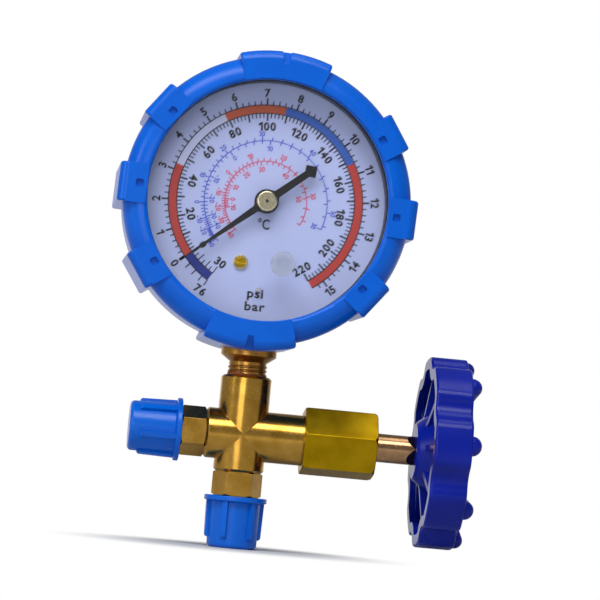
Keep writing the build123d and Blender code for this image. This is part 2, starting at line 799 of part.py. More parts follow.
with BuildPart() as tube_tip:
    with BuildSketch(radial_plane(tube_end)):
        with Locations((tube_radius, tube_height)):
            SlotOverall(tube_depth, tube_thickness, rotation=90)
    revolve(axis=dial_axis, revolution_arc=tip_block_sweep)
    # a lug beside the tube's front edge carries the link's pin
    with BuildSketch(dial_plane.offset(tube_height + tube_depth / 2 + loose_gap)):
        with BuildLine():
            CenterArc(tip_pin, link_eye_radius, 0, 360)
            CenterArc(tip_block_centre, link_eye_radius, 0, 360)
        make_hull()
    extrude(amount=link_height - running_gap - (tube_height + tube_depth / 2 + loose_gap))
    with BuildSketch(dial_plane.offset(tube_height)):
        with Locations(tip_block_centre):
            Circle(link_eye_radius)
    extrude(amount=link_height - running_gap - tube_height)
    with BuildSketch(dial_plane.offset(link_height)):
        with Locations(tip_pin):
            Circle(link_pin_radius)
    extrude(amount=-link_pin_seat, mode=Mode.SUBTRACT)
tube_tip.part.label = "tube_tip"


def headed_pin(place, back, front, radius, head_radius, head_height):
    """A pin along the dial axis direction with a flat round head on its front end."""
    with BuildPart() as pin:
        with BuildSketch(dial_plane.offset(back)):
            with Locations(*place):
                Circle(radius)
        extrude(amount=front - back)
        with BuildSketch(dial_plane.offset(front)):
            with Locations(*place):
                Circle(head_radius)
        extrude(amount=head_height)
    return pin.part


# ---------------------------------------------------------------- movement
def plate(outline, height, holes):
    """A flat plate whose outline is stretched round circles, with one hole for each place."""
    with BuildPart() as flat:
        with BuildSketch(dial_plane.offset(height)):
            with BuildLine():
                for place, radius in outline:
                    CenterArc(place, radius, 0, 360)
            make_hull()
            for place, radius in holes:
                with Locations(place):
                    Circle(radius, mode=Mode.SUBTRACT)
        extrude(amount=plate_thickness)
    return flat.part


plate_corners = [(place, plate_round) for place in pillar_places] + [(sector_place, plate_round)]
arbor_holes = [((0, 0), arbor_radius + running_gap), (sector_place, arbor_radius + running_gap)]
screw_holes = [(place, plate_screw_radius + running_gap) for place in pillar_places]
foot_corners = [(place, foot_round) for place in foot_places]
foot_holes = [(place, plate_screw_radius + running_gap) for place in foot_places]
rear_plate = plate(plate_corners + foot_corners, back_plate_height, arbor_holes + foot_holes)
rear_plate.label = "movement_rear_plate"
stud_hole = [(stud_place, plate_screw_radius + running_gap)]
front_plate = plate(plate_corners, front_plate_back, arbor_holes + screw_holes + stud_hole)
front_plate.label = "movement_front_plate"

with BuildPart() as movement_pillars:
    with BuildSketch(dial_plane.offset(rear_plate_front)):
        with Locations(*pillar_places):
            Circle(pillar_radius)
    extrude(amount=plate_spacing)
    with BuildSketch(dial_plane.offset(front_plate_back)):
        with Locations(*pillar_places):
            Circle(plate_screw_radius)
    extrude(amount=-plate_screw_length, mode=Mode.SUBTRACT)
movement_pillars.part.label = "movement_pillars"

plate_screws = headed_pin(
    pillar_places,
    front_plate_back - plate_screw_length + running_gap,
    front_plate_front,
    plate_screw_radius - running_gap / 2,
    plate_screw_head_radius,
    plate_screw_head_height,
)
plate_screws.label = "movement_plate_screws"
foot_screws = headed_pin(
    foot_places,
    back_plate_height - foot_screw_length + running_gap,
    rear_plate_front,
    plate_screw_radius,
    plate_screw_head_radius,
    plate_screw_head_height,
)
foot_screws.label = "movement_foot_screws"

# ---------------------------------------------------------------- sector and pinion
tooth_pitch = pi * gear_module
tooth_width = tooth_pitch / 2 - tooth_slack
flank = tan(radians(pressure_angle))
dedendum = gear_module + tooth_root_gap
mesh_angle = sector_angle + 180
step_angle = 360 / sector_full_teeth
fan_low = mesh_angle - (gaps_below + 1) * step_angle
fan_sweep = (gaps_below + gaps_above + 2) * step_angle
gap_width = tooth_pitch - tooth_width

with BuildPart() as sector_gear:
    with BuildSketch(dial_plane.offset(sector_height)):
        with BuildLine():
            low_corner = sector_place + polar(sector_pitch_radius + gear_module, fan_low)
            high_corner = sector_place + polar(sector_pitch_radius + gear_module, fan_low + fan_sweep)
            Line(sector_place, low_corner)
            CenterArc(sector_place, sector_pitch_radius + gear_module, fan_low, fan_sweep)
            Line(high_corner, sector_place)
        make_face()
        with Locations(sector_place):
            Circle(sector_hub_radius)
            with PolarLocations(
                sector_pitch_radius,
                gaps_below + gaps_above + 1,
                mesh_angle - gaps_below * step_angle,
                (gaps_below + gaps_above + 1) * step_angle,
            ):
                Polygon(
                    (-dedendum, gap_width / 2 - dedendum * flank),
                    (gear_module + running_gap, gap_width / 2 + gear_module * flank),
                    (gear_module + running_gap, -gap_width / 2 - gear_module * flank),
                    (-dedendum, -gap_width / 2 + dedendum * flank),
                    mode=Mode.SUBTRACT,
                )
    extrude(amount=sector_thickness)
    with BuildSketch(dial_plane.offset(sector_height)):
        with BuildLine():
            CenterArc(sector_place, link_eye_radius, 0, 360)
            CenterArc(tail_pin, link_eye_radius, 0, 360)
        make_hull()
    extrude(amount=sector_thickness)
    with BuildSketch(dial_plane.offset(sector_height)):
        with Locations(sector_place):
            Circle(arbor_radius)
        with Locations(tail_pin):
            Circle(link_pin_radius)
        with BuildLine():
            window = fan_window_inset
            CenterArc(sector_place, fan_window_outer, fan_low + window, fan_sweep - 2 * window)
            CenterArc(sector_place, fan_window_inner, fan_low + 1.5 * window, fan_sweep - 3 * window)
            Line(
                sector_place + polar(fan_window_outer, fan_low + window),
                sector_place + polar(fan_window_inner, fan_low + 1.5 * window),
            )
            Line(
                sector_place + polar(fan_window_outer, fan_low + fan_sweep - window),
                sector_place + polar(fan_window_inner, fan_low + fan_sweep - 1.5 * window),
            )
        make_face()
    extrude(amount=sector_thickness, mode=Mode.SUBTRACT)
sector_gear.part.label = "sector_gear"

with BuildPart() as sector_arbor:
    with BuildSketch(dial_plane.offset(back_plate_height + running_gap)):
        with Locations(sector_place):
            Circle(arbor_radius)
    extrude(amount=front_plate_front - back_plate_height - 2 * running_gap)
sector_arbor.part.label = "sector_arbor"

with BuildPart() as pinion_arbor:
    with BuildSketch(dial_plane.offset(pinion_height)):
        Circle(pinion_pitch_radius - dedendum)
        with PolarLocations(pinion_pitch_radius, pinion_teeth, sector_angle):
            Polygon(
                (-2 * dedendum, tooth_width / 2),
                (0, tooth_width / 2),
                (gear_module, tooth_width / 2 - gear_module * flank),
                (gear_module, -tooth_width / 2 + gear_module * flank),
                (0, -tooth_width / 2),
                (-2 * dedendum, -tooth_width / 2),
            )
    extrude(amount=pinion_length)
    with BuildSketch(dial_plane.offset(back_plate_height + running_gap)):
        Circle(arbor_radius)
    extrude(amount=pointer_cap_back + cap_height / 2 - back_plate_height - running_gap)
    with BuildSketch(dial_plane.offset(hairspring_height)):
        Circle(collet_radius)
    extrude(amount=hairspring_width)
pinion_arbor.part.label = "pinion_arbor"

sector_pin = headed_pin(
    [tail_pin],
    sector_height,
    link_height + link_thickness + running_gap,
    link_pin_radius,
    link_pin_head_radius,
    pin_head_height,
)
sector_pin.label = "sector_link_pin"
tube_pin = headed_pin(
    [tip_pin],
    link_height - link_pin_seat,
    link_height + link_thickness + running_gap,
    link_pin_radius,
    tip_pin_head_radius,
    pin_head_height,
)
tube_pin.label = "tip_link_pin"

with BuildPart() as link:
    link_run = tip_pin - tail_pin
    with BuildSketch(dial_plane.offset(link_height)):
        with Locations(tail_pin, tip_pin):
            Circle(link_eye_radius)
        with Locations(Location((tail_pin + tip_pin) / 2, (0, 0, link_angle))):
            Rectangle(link_run.length, link_width)
        with Locations(tail_pin):
            Circle(link_pin_radius + running_gap, mode=Mode.SUBTRACT)
        with Locations(tip_pin):
            Circle(link_pin_radius + open_pivot_gap, mode=Mode.SUBTRACT)
    extrude(amount=link_thickness)
link.part.label = "link"

# ---------------------------------------------------------------- hairspring
with BuildPart() as hairspring:
    with BuildSketch(dial_plane.offset(hairspring_height)):
        with BuildLine():
            # half circles about two centres in turn, each half a pitch wider than the last
            for turn in range(hairspring_half_turns):
                odd = turn % 2
                CenterArc(
                    (odd * hairspring_pitch / 2, 0),
                    hairspring_inner + turn * hairspring_pitch / 2,
                    180 * odd,
                    180,
                )
        trace(line_width=hairspring_strip)
    extrude(amount=hairspring_width)
hairspring.part.label = "hairspring"

hairspring_stud = headed_pin(
    [stud_place],
    hairspring_height - running_gap,
    front_plate_front,
    plate_screw_radius,
    plate_screw_radius,
    stud_head_height,
)
hairspring_stud.label = "hairspring_stud"

# ---------------------------------------------------------------- dial and what stands on it
with BuildPart() as dial_face:
    with BuildSketch(dial_plane.offset(dial_height)):
        Circle(dial_radius)
        Circle(dial_hole_radius, mode=Mode.SUBTRACT)
        with Locations((0, -stop_pin_reach)):
            Circle(stop_pin_radius, mode=Mode.SUBTRACT)
        with Locations(zero_screw_place):
            Circle(zero_bush_hole, mode=Mode.SUBTRACT)
    extrude(amount=-dial_thickness)
dial_face.part.label = "dial_face"

stop_pin = headed_pin(
    [(0, -stop_pin_reach)],
    dial_height - dial_thickness,
    dial_height + stop_pin_height - stop_pin_radius / 2,
    stop_pin_radius,
    stop_pin_radius,
    stop_pin_radius / 2,
)
stop_pin.label = "stop_pin"

with BuildPart() as zero_bush:
    with BuildSketch(dial_plane.offset(dial_height)):
        with Locations(zero_screw_place):
            Circle(zero_bush_radius)
            Circle(zero_head_radius + 2 * running_gap, mode=Mode.SUBTRACT)
    extrude(amount=zero_bush_height)
    with BuildSketch(dial_plane.offset(dial_height)):
        with Locations(zero_screw_place):
            Circle(zero_bush_hole)
            Circle(zero_shank_radius + running_gap, mode=Mode.SUBTRACT)
    extrude(amount=-dial_thickness)
zero_bush.part.label = "zero_screw_bush"

with BuildPart() as zero_screw:
    with BuildSketch(dial_plane.offset(dial_height)):
        with Locations(zero_screw_place):
            Circle(zero_head_radius)
    extrude(amount=zero_head_height)
    chamfer(zero_screw.edges().sort_by(Axis.Y)[0], zero_slot_width / 2)
    with BuildSketch(dial_plane.offset(dial_height + zero_head_height)):
        with Locations(zero_screw_place):
            Rectangle(2 * zero_head_radius, zero_slot_width)
    extrude(amount=-zero_slot_width, mode=Mode.SUBTRACT)
    with BuildSketch(dial_plane.offset(dial_height)):
        with Locations(zero_screw_place):
            Circle(zero_shank_radius)
    extrude(amount=-dial_thickness)
zero_screw.part.label = "zero_screw"

# ---------------------------------------------------------------- pointer
with BuildPart() as pointer:
    with BuildSketch(dial_plane.offset(pointer_back)):
        with Locations(Location((0, 0, 0), (0, 0, pointer_zero))):
            Polygon(
                (0, pointer_root_width / 2),
                (pointer_tip, pointer_tip_width / 2),
                (pointer_tip, -pointer_tip_width / 2),
                (0, -pointer_root_width / 2),
            )
            Polygon(
                (0, pointer_root_width / 2),
                (pointer_tail_diamond - pointer_tail, pointer_tail_width / 2),
                (pointer_tail_diamond - pointer_tail, -pointer_tail_width / 2),
                (0, -pointer_root_width / 2),
            )
            Polygon(
                (-pointer_tail, 0),
                (pointer_tail_diamond - pointer_tail, pointer_tail_diamond),
                (2 * pointer_tail_diamond - pointer_tail, 0),
                (pointer_tail_diamond - pointer_tail, -pointer_tail_diamond),
            )
        Circle(pointer_disc_radius)
    extrude(amount=pointer_thickness)
    with BuildSketch(dial_plane.offset(pointer_back - pointer_disc_step)):
        Circle(pointer_disc_radius)
    extrude(amount=pointer_thickness + 2 * pointer_disc_step)
    with BuildSketch(dial_plane.offset(pointer_back - pointer_disc_step)):
        Circle(pointer_bush_radius + running_gap)
    extrude(amount=pointer_thickness + 2 * pointer_disc_step, mode=Mode.SUBTRACT)
pointer.part.label = "pointer"

with BuildPart() as pointer_cap:
    with BuildSketch(dial_plane.offset(pointer_cap_back)):
        Circle(cap_radius)
    extrude(amount=cap_height)
    fillet(pointer_cap.edges().sort_by(Axis.Y)[0], cap_edge_round)
    with BuildSketch(dial_plane.offset(pointer_cap_back)):
        Circle(pointer_bush_radius)
    extrude(amount=-pointer_bush_length)
    with BuildSketch(dial_plane.offset(pointer_cap_back - pointer_bush_length)):
        Circle(arbor_radius)
    extrude(amount=pointer_bush_length + cap_height / 2, mode=Mode.SUBTRACT)
    with BuildSketch(dial_plane.offset(pointer_cap_back + cap_height)):
        Circle(cap_dimple_radius)
    extrude(amount=-cap_dimple_radius, mode=Mode.SUBTRACT)
pointer_cap.part.label = "pointer_cap"

# ---------------------------------------------------------------- case, spacer, gasket and lens
with BuildPart() as gauge_case:
    with BuildSketch(radial_plane(0)):
        with BuildLine():
            Polyline(
                (0, case_back),
                (case_radius, case_back),
                (case_radius, bead_front - bead_width - 2 * bead_depth),
                (case_radius - bead_depth, bead_front - bead_width - bead_depth),
                (case_radius - bead_depth, bead_front - bead_depth / 2),
                (case_radius, bead_front + bead_depth),
                (case_radius, case_front),
                (case_radius - case_wall, case_front),
                (case_radius - case_wall, bead_front),
                (case_radius - case_wall - bead_depth, bead_front),
                (case_radius - case_wall - bead_depth, bead_front - bead_width - bead_depth / 2),
                (case_radius - case_wall, bead_front - bead_width - 2 * bead_depth),
                (case_radius - case_wall, case_floor),
                (0, case_floor),
                close=True,
            )
        make_face()
    revolve(axis=dial_axis)
    fillet(gauge_case.edges().filter_by(GeomType.CIRCLE).sort_by(Axis.Y)[-1], case_edge_round)
    with BuildSketch(Plane.XY.offset(dial_centre.Z - case_radius - cut_past)):
        Circle(neck_radius + loose_gap)
    extrude(amount=case_radius + cut_past + block_bottom, mode=Mode.SUBTRACT)
    with BuildSketch(dial_plane.offset(case_back)):
        with Locations(*case_screw_places):
            Circle(case_screw_radius + 2 * running_gap)
        with Locations((0, vent_reach)):
            Circle(vent_radius + running_gap)
    extrude(amount=case_wall, mode=Mode.SUBTRACT)
gauge_case.part.label = "gauge_case"


def dial_ring(height, thickness, outer, inner):
    """A plain ring round the dial axis."""
    with BuildPart() as ring:
        with BuildSketch(dial_plane.offset(height)):
            Circle(outer)
            Circle(inner, mode=Mode.SUBTRACT)
        extrude(amount=thickness)
    return ring.part


spacer_outer = case_radius - case_wall - running_gap
dial_spacer = dial_ring(dial_height, case_front - dial_height, spacer_outer, spacer_outer - spacer_wall)
dial_spacer.label = "dial_spacer"
lens_gasket = dial_ring(case_front, gasket_thickness, case_radius - running_gap, case_radius - gasket_width)
lens_gasket.label = "lens_gasket"

with BuildPart() as lens:
    with BuildSketch(dial_plane.offset(lens_back)):
        Circle(case_radius - running_gap)
        with Locations(lens_plug_place):
            Circle(lens_hole_radius, mode=Mode.SUBTRACT)
    extrude(amount=lens_thickness)
lens.part.label = "lens"

with BuildPart() as lens_plug:
    with BuildSketch(dial_plane.offset(lens_front)):
        with Locations(lens_plug_place):
            Circle(plug_flange_radius)
    extrude(amount=plug_flange_thickness)
    with BuildSketch(dial_plane.offset(lens_back)):
        with Locations(lens_plug_place):
            Circle(lens_hole_radius - running_gap)
    extrude(amount=lens_thickness)
    with BuildSketch(dial_plane.offset(lens_front + plug_flange_thickness)):
        with Locations(lens_plug_place):
            Circle(plug_dish_radius)
    extrude(amount=-plug_flange_thickness, mode=Mode.SUBTRACT)
lens_plug.part.label = "lens_plug"

with BuildPart() as vent_plug:
    with BuildSketch(dial_plane.offset(case_back)):
        with Locations((0, vent_reach)):
            Circle(vent_flange_radius)
    extrude(amount=-vent_flange_thickness)
    fillet(vent_plug.edges().sort_by(Axis.Y)[-1], vent_flange_thickness / 2)
    with BuildSketch(dial_plane.offset(case_back)):
        with Locations((0, vent_reach)):
            Circle(vent_radius)
    extrude(amount=2 * case_wall)
vent_plug.part.label = "vent_plug"

with BuildPart() as case_screws:
    with BuildSketch(dial_plane.offset(case_back)):
        with Locations(*case_screw_places):
            Circle(case_screw_head_radius)
    extrude(amount=-case_screw_head_height)
    fillet(case_screws.edges().group_by(Axis.Y)[-1], case_screw_head_height / 3)
    with BuildSketch(dial_plane.offset(case_back - case_screw_head_height)):
        with Locations(*case_screw_places):
            Rectangle(2 * case_screw_head_radius, zero_slot_width * 2)
    extrude(amount=case_screw_head_height / 2, mode=Mode.SUBTRACT)
    with BuildSketch(dial_plane.offset(case_back)):
        with Locations(*case_screw_places):
            Circle(case_screw_radius)
    extrude(amount=case_screw_length - loose_gap)
case_screws.part.label = "case_screws"

# ---------------------------------------------------------------- protective boot
def boot_lug(place, sweep=0.0):
    """A lug that many degrees from the top: a straight block, or one swept along the boot's edge."""
    with BuildPart() as lug:
        with BuildSketch(radial_plane(90 - place + sweep / 2)):
            with BuildLine():
                Polyline(
                    (lug_radius - lug_slope_width, lug_front),
                    (lug_inner_radius, lug_front),
                    (lug_inner_radius, boot_front - boot_lip_round),
                    (boot_inner, boot_front - boot_lip_round),
                    (boot_inner, boot_back),
                    (lug_radius, boot_back),
                    (lug_radius, lug_front - lug_slope_height),
                )
                TangentArc(
                    (lug_radius, lug_front - lug_slope_height),
                    (lug_radius - lug_slope_width, lug_front),
                    tangent=(0, 1),
                )
            make_face()
        if sweep:
            revolve(axis=dial_axis, revolution_arc=sweep)
        else:
            extrude(amount=narrow_lug_width / 2, both=True)
        corners = lug.edges().filter_by(Axis.Y).sort_by(lambda edge: (edge.center() - dial_centre).X ** 2
                                                        + (edge.center() - dial_centre).Z ** 2)
        fillet(corners[-2:], lug_corner_round)
    return lug.part


def lug_notch(place):
    """The space cut from a wide lug's front edge: it widens and deepens towards the outer side."""
    with BuildPart() as notch:
        with BuildSketch(dial_plane.offset(lug_front)):
            with Locations(Location((0, 0, 0), (0, 0, -place))):
                Polygon(
                    (-notch_inner_width / 2, lug_radius - notch_reach),
                    (notch_inner_width / 2, lug_radius - notch_reach),
                    (notch_width / 2, lug_radius + sink),
                    (-notch_width / 2, lug_radius + sink),
                )
        extrude(amount=-notch_height)
        with BuildSketch(radial_plane(90 - place)):
            Polygon(
                (lug_radius - notch_reach, lug_front),
                (lug_radius, lug_front - notch_height),
                (lug_radius + sink, lug_front - notch_height),
                (lug_radius + sink, lug_front),
            )
        extrude(amount=notch_width, both=True, mode=Mode.INTERSECT)
    return notch.part


narrow_lugs = [boot_turn + side * place for place in narrow_lug_places for side in (-1, 1)]
wide_lugs = [boot_turn, boot_turn + 180]
boot_lugs = [boot_lug(place) for place in narrow_lugs]
boot_lugs += [boot_lug(place, wide_lug_sweep) for place in wide_lugs]

with BuildPart() as boot:
    with BuildSketch(radial_plane(0)):
        with BuildLine():
            Line((boot_inner, case_back), (boot_inner, lens_front))
            Line((boot_inner, lens_front), (boot_lip_radius, lens_front))
            Line((boot_lip_radius, lens_front), (boot_lip_radius, boot_front - boot_lip_round))
            ThreePointArc(
                (boot_lip_radius, boot_front - boot_lip_round),
                (boot_lip_radius + round_middle * boot_lip_round, boot_front - round_middle * boot_lip_round),
                (boot_lip_radius + boot_lip_round, boot_front),
            )
            TangentArc(
                (boot_lip_radius + boot_lip_round, boot_front), (boot_radius, boot_shoulder), tangent=(1, 0)
            )
            Polyline(
                (boot_radius, boot_shoulder),
                (boot_radius - boot_draft, boot_back + boot_back_round),
                (boot_radius - boot_draft - boot_back_round, boot_back),
                (boot_back_radius, boot_back),
            )
            Line((boot_back_radius, boot_back), (boot_back_radius, case_back))
            Line((boot_back_radius, case_back), (boot_inner, case_back))
        make_face()
    revolve(axis=dial_axis)
    add(boot_lugs)
    # square dimples in the narrow lugs and a notch in the front edge of the wide ones
    with BuildSketch(dial_plane.offset(lug_front)):
        for place in narrow_lugs:
            with Locations(polar(dimple_place, 90 - place)):
                RectangleRounded(dimple_side, dimple_side, dimple_round, rotation=-place)
    extrude(amount=-dimple_depth, mode=Mode.SUBTRACT)
    add([lug_notch(place) for place in wide_lugs], mode=Mode.SUBTRACT)
    # hole for the neck
    with BuildSketch(Plane.XY.offset(dial_centre.Z - lug_radius - cut_past)):
        Circle(collar_radius + loose_gap)
    extrude(amount=lug_radius + cut_past - boot_inner / 2, mode=Mode.SUBTRACT)
boot.part.label = "protective_boot"

# ---------------------------------------------------------------- files
pieces = [
    valve_body.part, left_nipple, bottom_nipple, left_cap, bottom_cap, bonnet_nut.part, gland_washer,
    stem_packing, packing_gland, valve_stem.part, stem_o_ring.part, seat_disc.part, handwheel.part,
    wheel_washer.part, wheel_screw.part, gauge_socket.part, bourdon_tube.part, tube_tip.part,
    rear_plate, front_plate, movement_pillars.part, plate_screws, foot_screws, sector_gear.part,
    sector_arbor.part, pinion_arbor.part, sector_pin, tube_pin, link.part, hairspring.part,
    hairspring_stud, dial_face.part, stop_pin, zero_bush.part, zero_screw.part, pointer.part,
    pointer_cap.part, gauge_case.part, dial_spacer, lens_gasket, lens.part, lens_plug.part,
    vent_plug.part, case_screws.part, boot.part,
]
for piece in pieces:
    export_step(piece, f"parts/{piece.label}.step")
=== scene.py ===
# %% [markdown]
# # A refrigerant manifold gauge
#
# A dial gauge in a rubber boot stands on a brass cross valve. Hoses screw on to the two ports
# under the blue dust caps, and the handwheel on the right shuts one of them. The solids come from
# the CAD frame with true sizes, so this file only gives them finishes and adds what is too thin
# for CAD: the dial's print, a collar round the pointer's hub, the neck's thread and the sealant
# on it.

# %% Load the frame
import math

import bmesh
import bpy
from mathutils import Matrix, Vector


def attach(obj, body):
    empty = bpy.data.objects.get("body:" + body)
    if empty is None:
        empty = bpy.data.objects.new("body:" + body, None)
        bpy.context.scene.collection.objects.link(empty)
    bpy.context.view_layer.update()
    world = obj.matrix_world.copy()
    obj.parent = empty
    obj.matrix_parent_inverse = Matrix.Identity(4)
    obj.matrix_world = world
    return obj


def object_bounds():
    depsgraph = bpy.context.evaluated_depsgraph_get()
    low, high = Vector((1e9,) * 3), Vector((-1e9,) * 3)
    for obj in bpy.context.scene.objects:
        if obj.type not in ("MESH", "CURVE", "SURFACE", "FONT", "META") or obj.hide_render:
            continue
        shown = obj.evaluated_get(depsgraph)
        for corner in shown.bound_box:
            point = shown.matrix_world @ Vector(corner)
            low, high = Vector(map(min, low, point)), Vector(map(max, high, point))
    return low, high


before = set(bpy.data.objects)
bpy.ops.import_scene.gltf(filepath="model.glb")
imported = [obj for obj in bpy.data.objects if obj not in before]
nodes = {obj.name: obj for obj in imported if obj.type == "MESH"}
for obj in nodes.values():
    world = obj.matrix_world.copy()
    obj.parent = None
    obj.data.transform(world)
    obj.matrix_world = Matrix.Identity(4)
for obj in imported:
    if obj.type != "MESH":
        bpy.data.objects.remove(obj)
cad_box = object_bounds()
mm = 0.001
print("CAD box", cad_box)

# %% [markdown]
# ## Camera
#
# A long lens from far away keeps the dial nearly round. The camera stands a little to the left
# and low, and it leans, so that the whole gauge seems to tip to the right. All of it follows from
# the point that it aims at, its distance and three angles, which are easier to change than a
# matrix.

# %% Camera
aim = Vector((12.82 * mm, 0, 68.3 * mm))
distance = 900 * mm
yaw, pitch, roll = (math.radians(a) for a in (5.3, 3.0, 5.25))

look = Vector((math.sin(yaw) * math.cos(pitch), math.cos(yaw) * math.cos(pitch), math.sin(pitch)))
level_right = Vector((math.cos(yaw), -math.sin(yaw), 0))
level_up = level_right.cross(look)
right = level_right * math.cos(roll) + level_up * math.sin(roll)
up = right.cross(look)

camera = bpy.data.objects.new("camera", bpy.data.cameras.new("camera"))
camera.matrix_world = Matrix((right, up, -look)).transposed().to_4x4()
camera.location = aim - look * distance
camera.data.lens = 194.1
camera.data.sensor_width = 36
camera.data.clip_end = 10
bpy.context.scene.collection.objects.link(camera)
bpy.context.scene.camera = camera
print("camera at", [round(v, 3) for v in camera.location])

# %% [markdown]
# ## Colour and node helpers
#
# A colour is picked as an sRGB hex value, but shaders work in linear light, so one function turns
# it. Every material is a Principled BSDF with a few texture nodes in front. One small function
# adds a node, sets its values and links its inputs, which keeps each material short enough to
# read.

# %% Helpers for colours and nodes
def linear(hex_colour):
    """An sRGB hex colour as linear RGBA."""
    channels = [int(hex_colour[i:i + 2], 16) / 255 for i in (1, 3, 5)]
    return [c / 12.92 if c <= 0.04045 else ((c + 0.055) / 1.055) ** 2.4 for c in channels] + [1.0]


def add(tree, kind, inputs=(), **settings):
    """Adds a node: settings are its properties, inputs are values or sockets for its inputs."""
    made = tree.nodes.new(kind)
    for name, value in settings.items():
        setattr(made, name, value)
    for key, value in dict(inputs).items():
        if isinstance(value, bpy.types.NodeSocket):
            tree.links.new(value, made.inputs[key])
        else:
            made.inputs[key].default_value = value
    return made


def finish(name, **values):
    """A new material and its Principled BSDF with some socket values set."""
    material = bpy.data.materials.new(name)
    material.use_nodes = True
    shader = material.node_tree.nodes["Principled BSDF"]
    for key, value in values.items():
        shader.inputs[key.replace("_", " ")].default_value = value
    return material, material.node_tree, shader


print("linear mid grey:", [round(c, 3) for c in linear("#808080")])

# %% [markdown]
# ## Stage
#
# The floor and the backdrop are white paper. Its whiteness comes from a strength-1 glow that only
# the camera, the polished brass and the clear plastic see, so no extra light is thrown at the
# gauge. Close to the gauge it stays plain paper, which takes the soft shadow, and the glow fades
# in over a few centimetres. In mirrors it fades in over a longer way, so that the undersides of
# the brass keep their deep tone.

# %% Paper for the floor and the backdrop
shadow_edge = (15 * mm, 55 * mm)    # where the glow begins and is full, for the camera
mirror_edge = (50 * mm, 400 * mm)   # the same, in mirrors

paper, tree, shader = finish("white paper", Roughness=0.9)
shader.inputs["Base Color"].default_value = linear("#C8CACE")
path = add(tree, "ShaderNodeLightPath")
place = add(tree, "ShaderNodeTexCoord").outputs["Object"]
away = add(tree, "ShaderNodeVectorMath", {0: place}, operation="LENGTH").outputs["Value"]
near = add(tree, "ShaderNodeMapRange", {0: away, 1: shadow_edge[0], 2: shadow_edge[1]},
           interpolation_type="SMOOTHSTEP")
far = add(tree, "ShaderNodeMapRange", {0: away, 1: mirror_edge[0], 2: mirror_edge[1]},
          interpolation_type="SMOOTHSTEP")
seen = add(tree, "ShaderNodeMath", {0: path.outputs["Is Camera Ray"], 1: near.outputs[0]},
           operation="MULTIPLY")
mirrored = add(tree, "ShaderNodeMath", {0: path.outputs["Is Glossy Ray"],
                                        1: path.outputs["Is Transmission Ray"]},
               operation="MAXIMUM")
mirrored = add(tree, "ShaderNodeMath", {0: mirrored.outputs[0], 1: far.outputs[0]},
               operation="MULTIPLY")
bright = add(tree, "ShaderNodeMath", {0: seen.outputs[0], 1: mirrored.outputs[0]},
             operation="MAXIMUM")
glow = add(tree, "ShaderNodeEmission", {"Color": linear("#FFFFFF"), "Strength": 1.0})
white = add(tree, "ShaderNodeMixShader", {0: bright.outputs[0], 1: shader.outputs[0],
                                          2: glow.outputs[0]})
tree.links.new(white.outputs[0], tree.nodes["Material Output"].inputs["Surface"])
print("the glow is full from", round(shadow_edge[1] / mm), "mm on")

# %% [markdown]
# ## Floor and backdrop
#
# Two flat sheets are enough, because both turn white before they meet, so no edge shows. The
# floor lies a hair below the lower dust cap, which keeps the two surfaces from flickering.

# %% Floor and backdrop
floor_height = cad_box[0][2] - 0.02 * mm


def sheet_of_paper(name, corners):
    """A flat stage sheet through four corners, in metres."""
    mesh = bpy.data.meshes.new(name)
    mesh.from_pydata([Vector(c) for c in corners], [], [(0, 1, 2, 3)])
    mesh.materials.append(paper)
    sheet = bpy.data.objects.new(name, mesh)
    bpy.context.scene.collection.objects.link(sheet)
    return sheet


sheet_of_paper("floor", [(x, y, floor_height) for x, y in ((-3, -2), (3, -2), (3, 2), (-3, 2))])
sheet_of_paper("backdrop", [(x, 2, z) for x, z in ((-1.5, floor_height), (1.5, floor_height),
                                           (1.5, 0.9), (-1.5, 0.9))])
print("floor at", round(floor_height / mm, 2), "mm")

# %% [markdown]
# ## Room and lamps
#
# The room is dim and faintly blue, because brass in an all-white room looks like pale paint. To
# the camera it is white, so that every side view has a white background, and mirrors get a tenth
# of that. Four soft boxes light the gauge. The key stands high in front, so that the boot's lip
# shades the dial's upper edge. The side and front lamps draw bright bands along the brass, and
# the one overhead lights the upper facets of the nut. Boxes are used, not point lamps, because
# polished metal shows the shape of what lights it.

# %% The dim room and the lamps
mirror_share = 0.1
world = bpy.data.worlds.new("studio")
bpy.context.scene.world = world
world.use_nodes = True
world.node_tree.nodes.clear()
tree = world.node_tree
path = add(tree, "ShaderNodeLightPath")
mirrored = add(tree, "ShaderNodeMath", {0: path.outputs["Is Glossy Ray"],
                                        1: path.outputs["Is Transmission Ray"]},
               operation="MAXIMUM")
mirrored = add(tree, "ShaderNodeMath", {0: mirrored.outputs[0], 1: mirror_share},
               operation="MULTIPLY")
seen = add(tree, "ShaderNodeMath", {0: path.outputs["Is Camera Ray"], 1: mirrored.outputs[0]},
           operation="MAXIMUM")
room = add(tree, "ShaderNodeBackground", {"Color": linear("#E6ECFF"), "Strength": 0.2})
bare = add(tree, "ShaderNodeBackground", {"Color": linear("#FFFFFF"), "Strength": 1.0})
both = add(tree, "ShaderNodeMixShader", {0: seen.outputs[0], 1: room.outputs[0],
                                         2: bare.outputs[0]})
add(tree, "ShaderNodeOutputWorld", {"Surface": both.outputs[0]})
bpy.context.scene.view_settings.view_transform = "Standard"


def soft_box(name, place, width, height, watts):
    """A rectangular lamp that faces the gauge."""
    lamp = bpy.data.lights.new(name, "AREA")
    lamp.shape = "RECTANGLE"
    lamp.size, lamp.size_y = width, height
    lamp.energy = watts
    box = bpy.data.objects.new(name, lamp)
    box.location = place
    box.rotation_euler = (aim - box.location).to_track_quat("-Z", "Y").to_euler()
    bpy.context.scene.collection.objects.link(box)


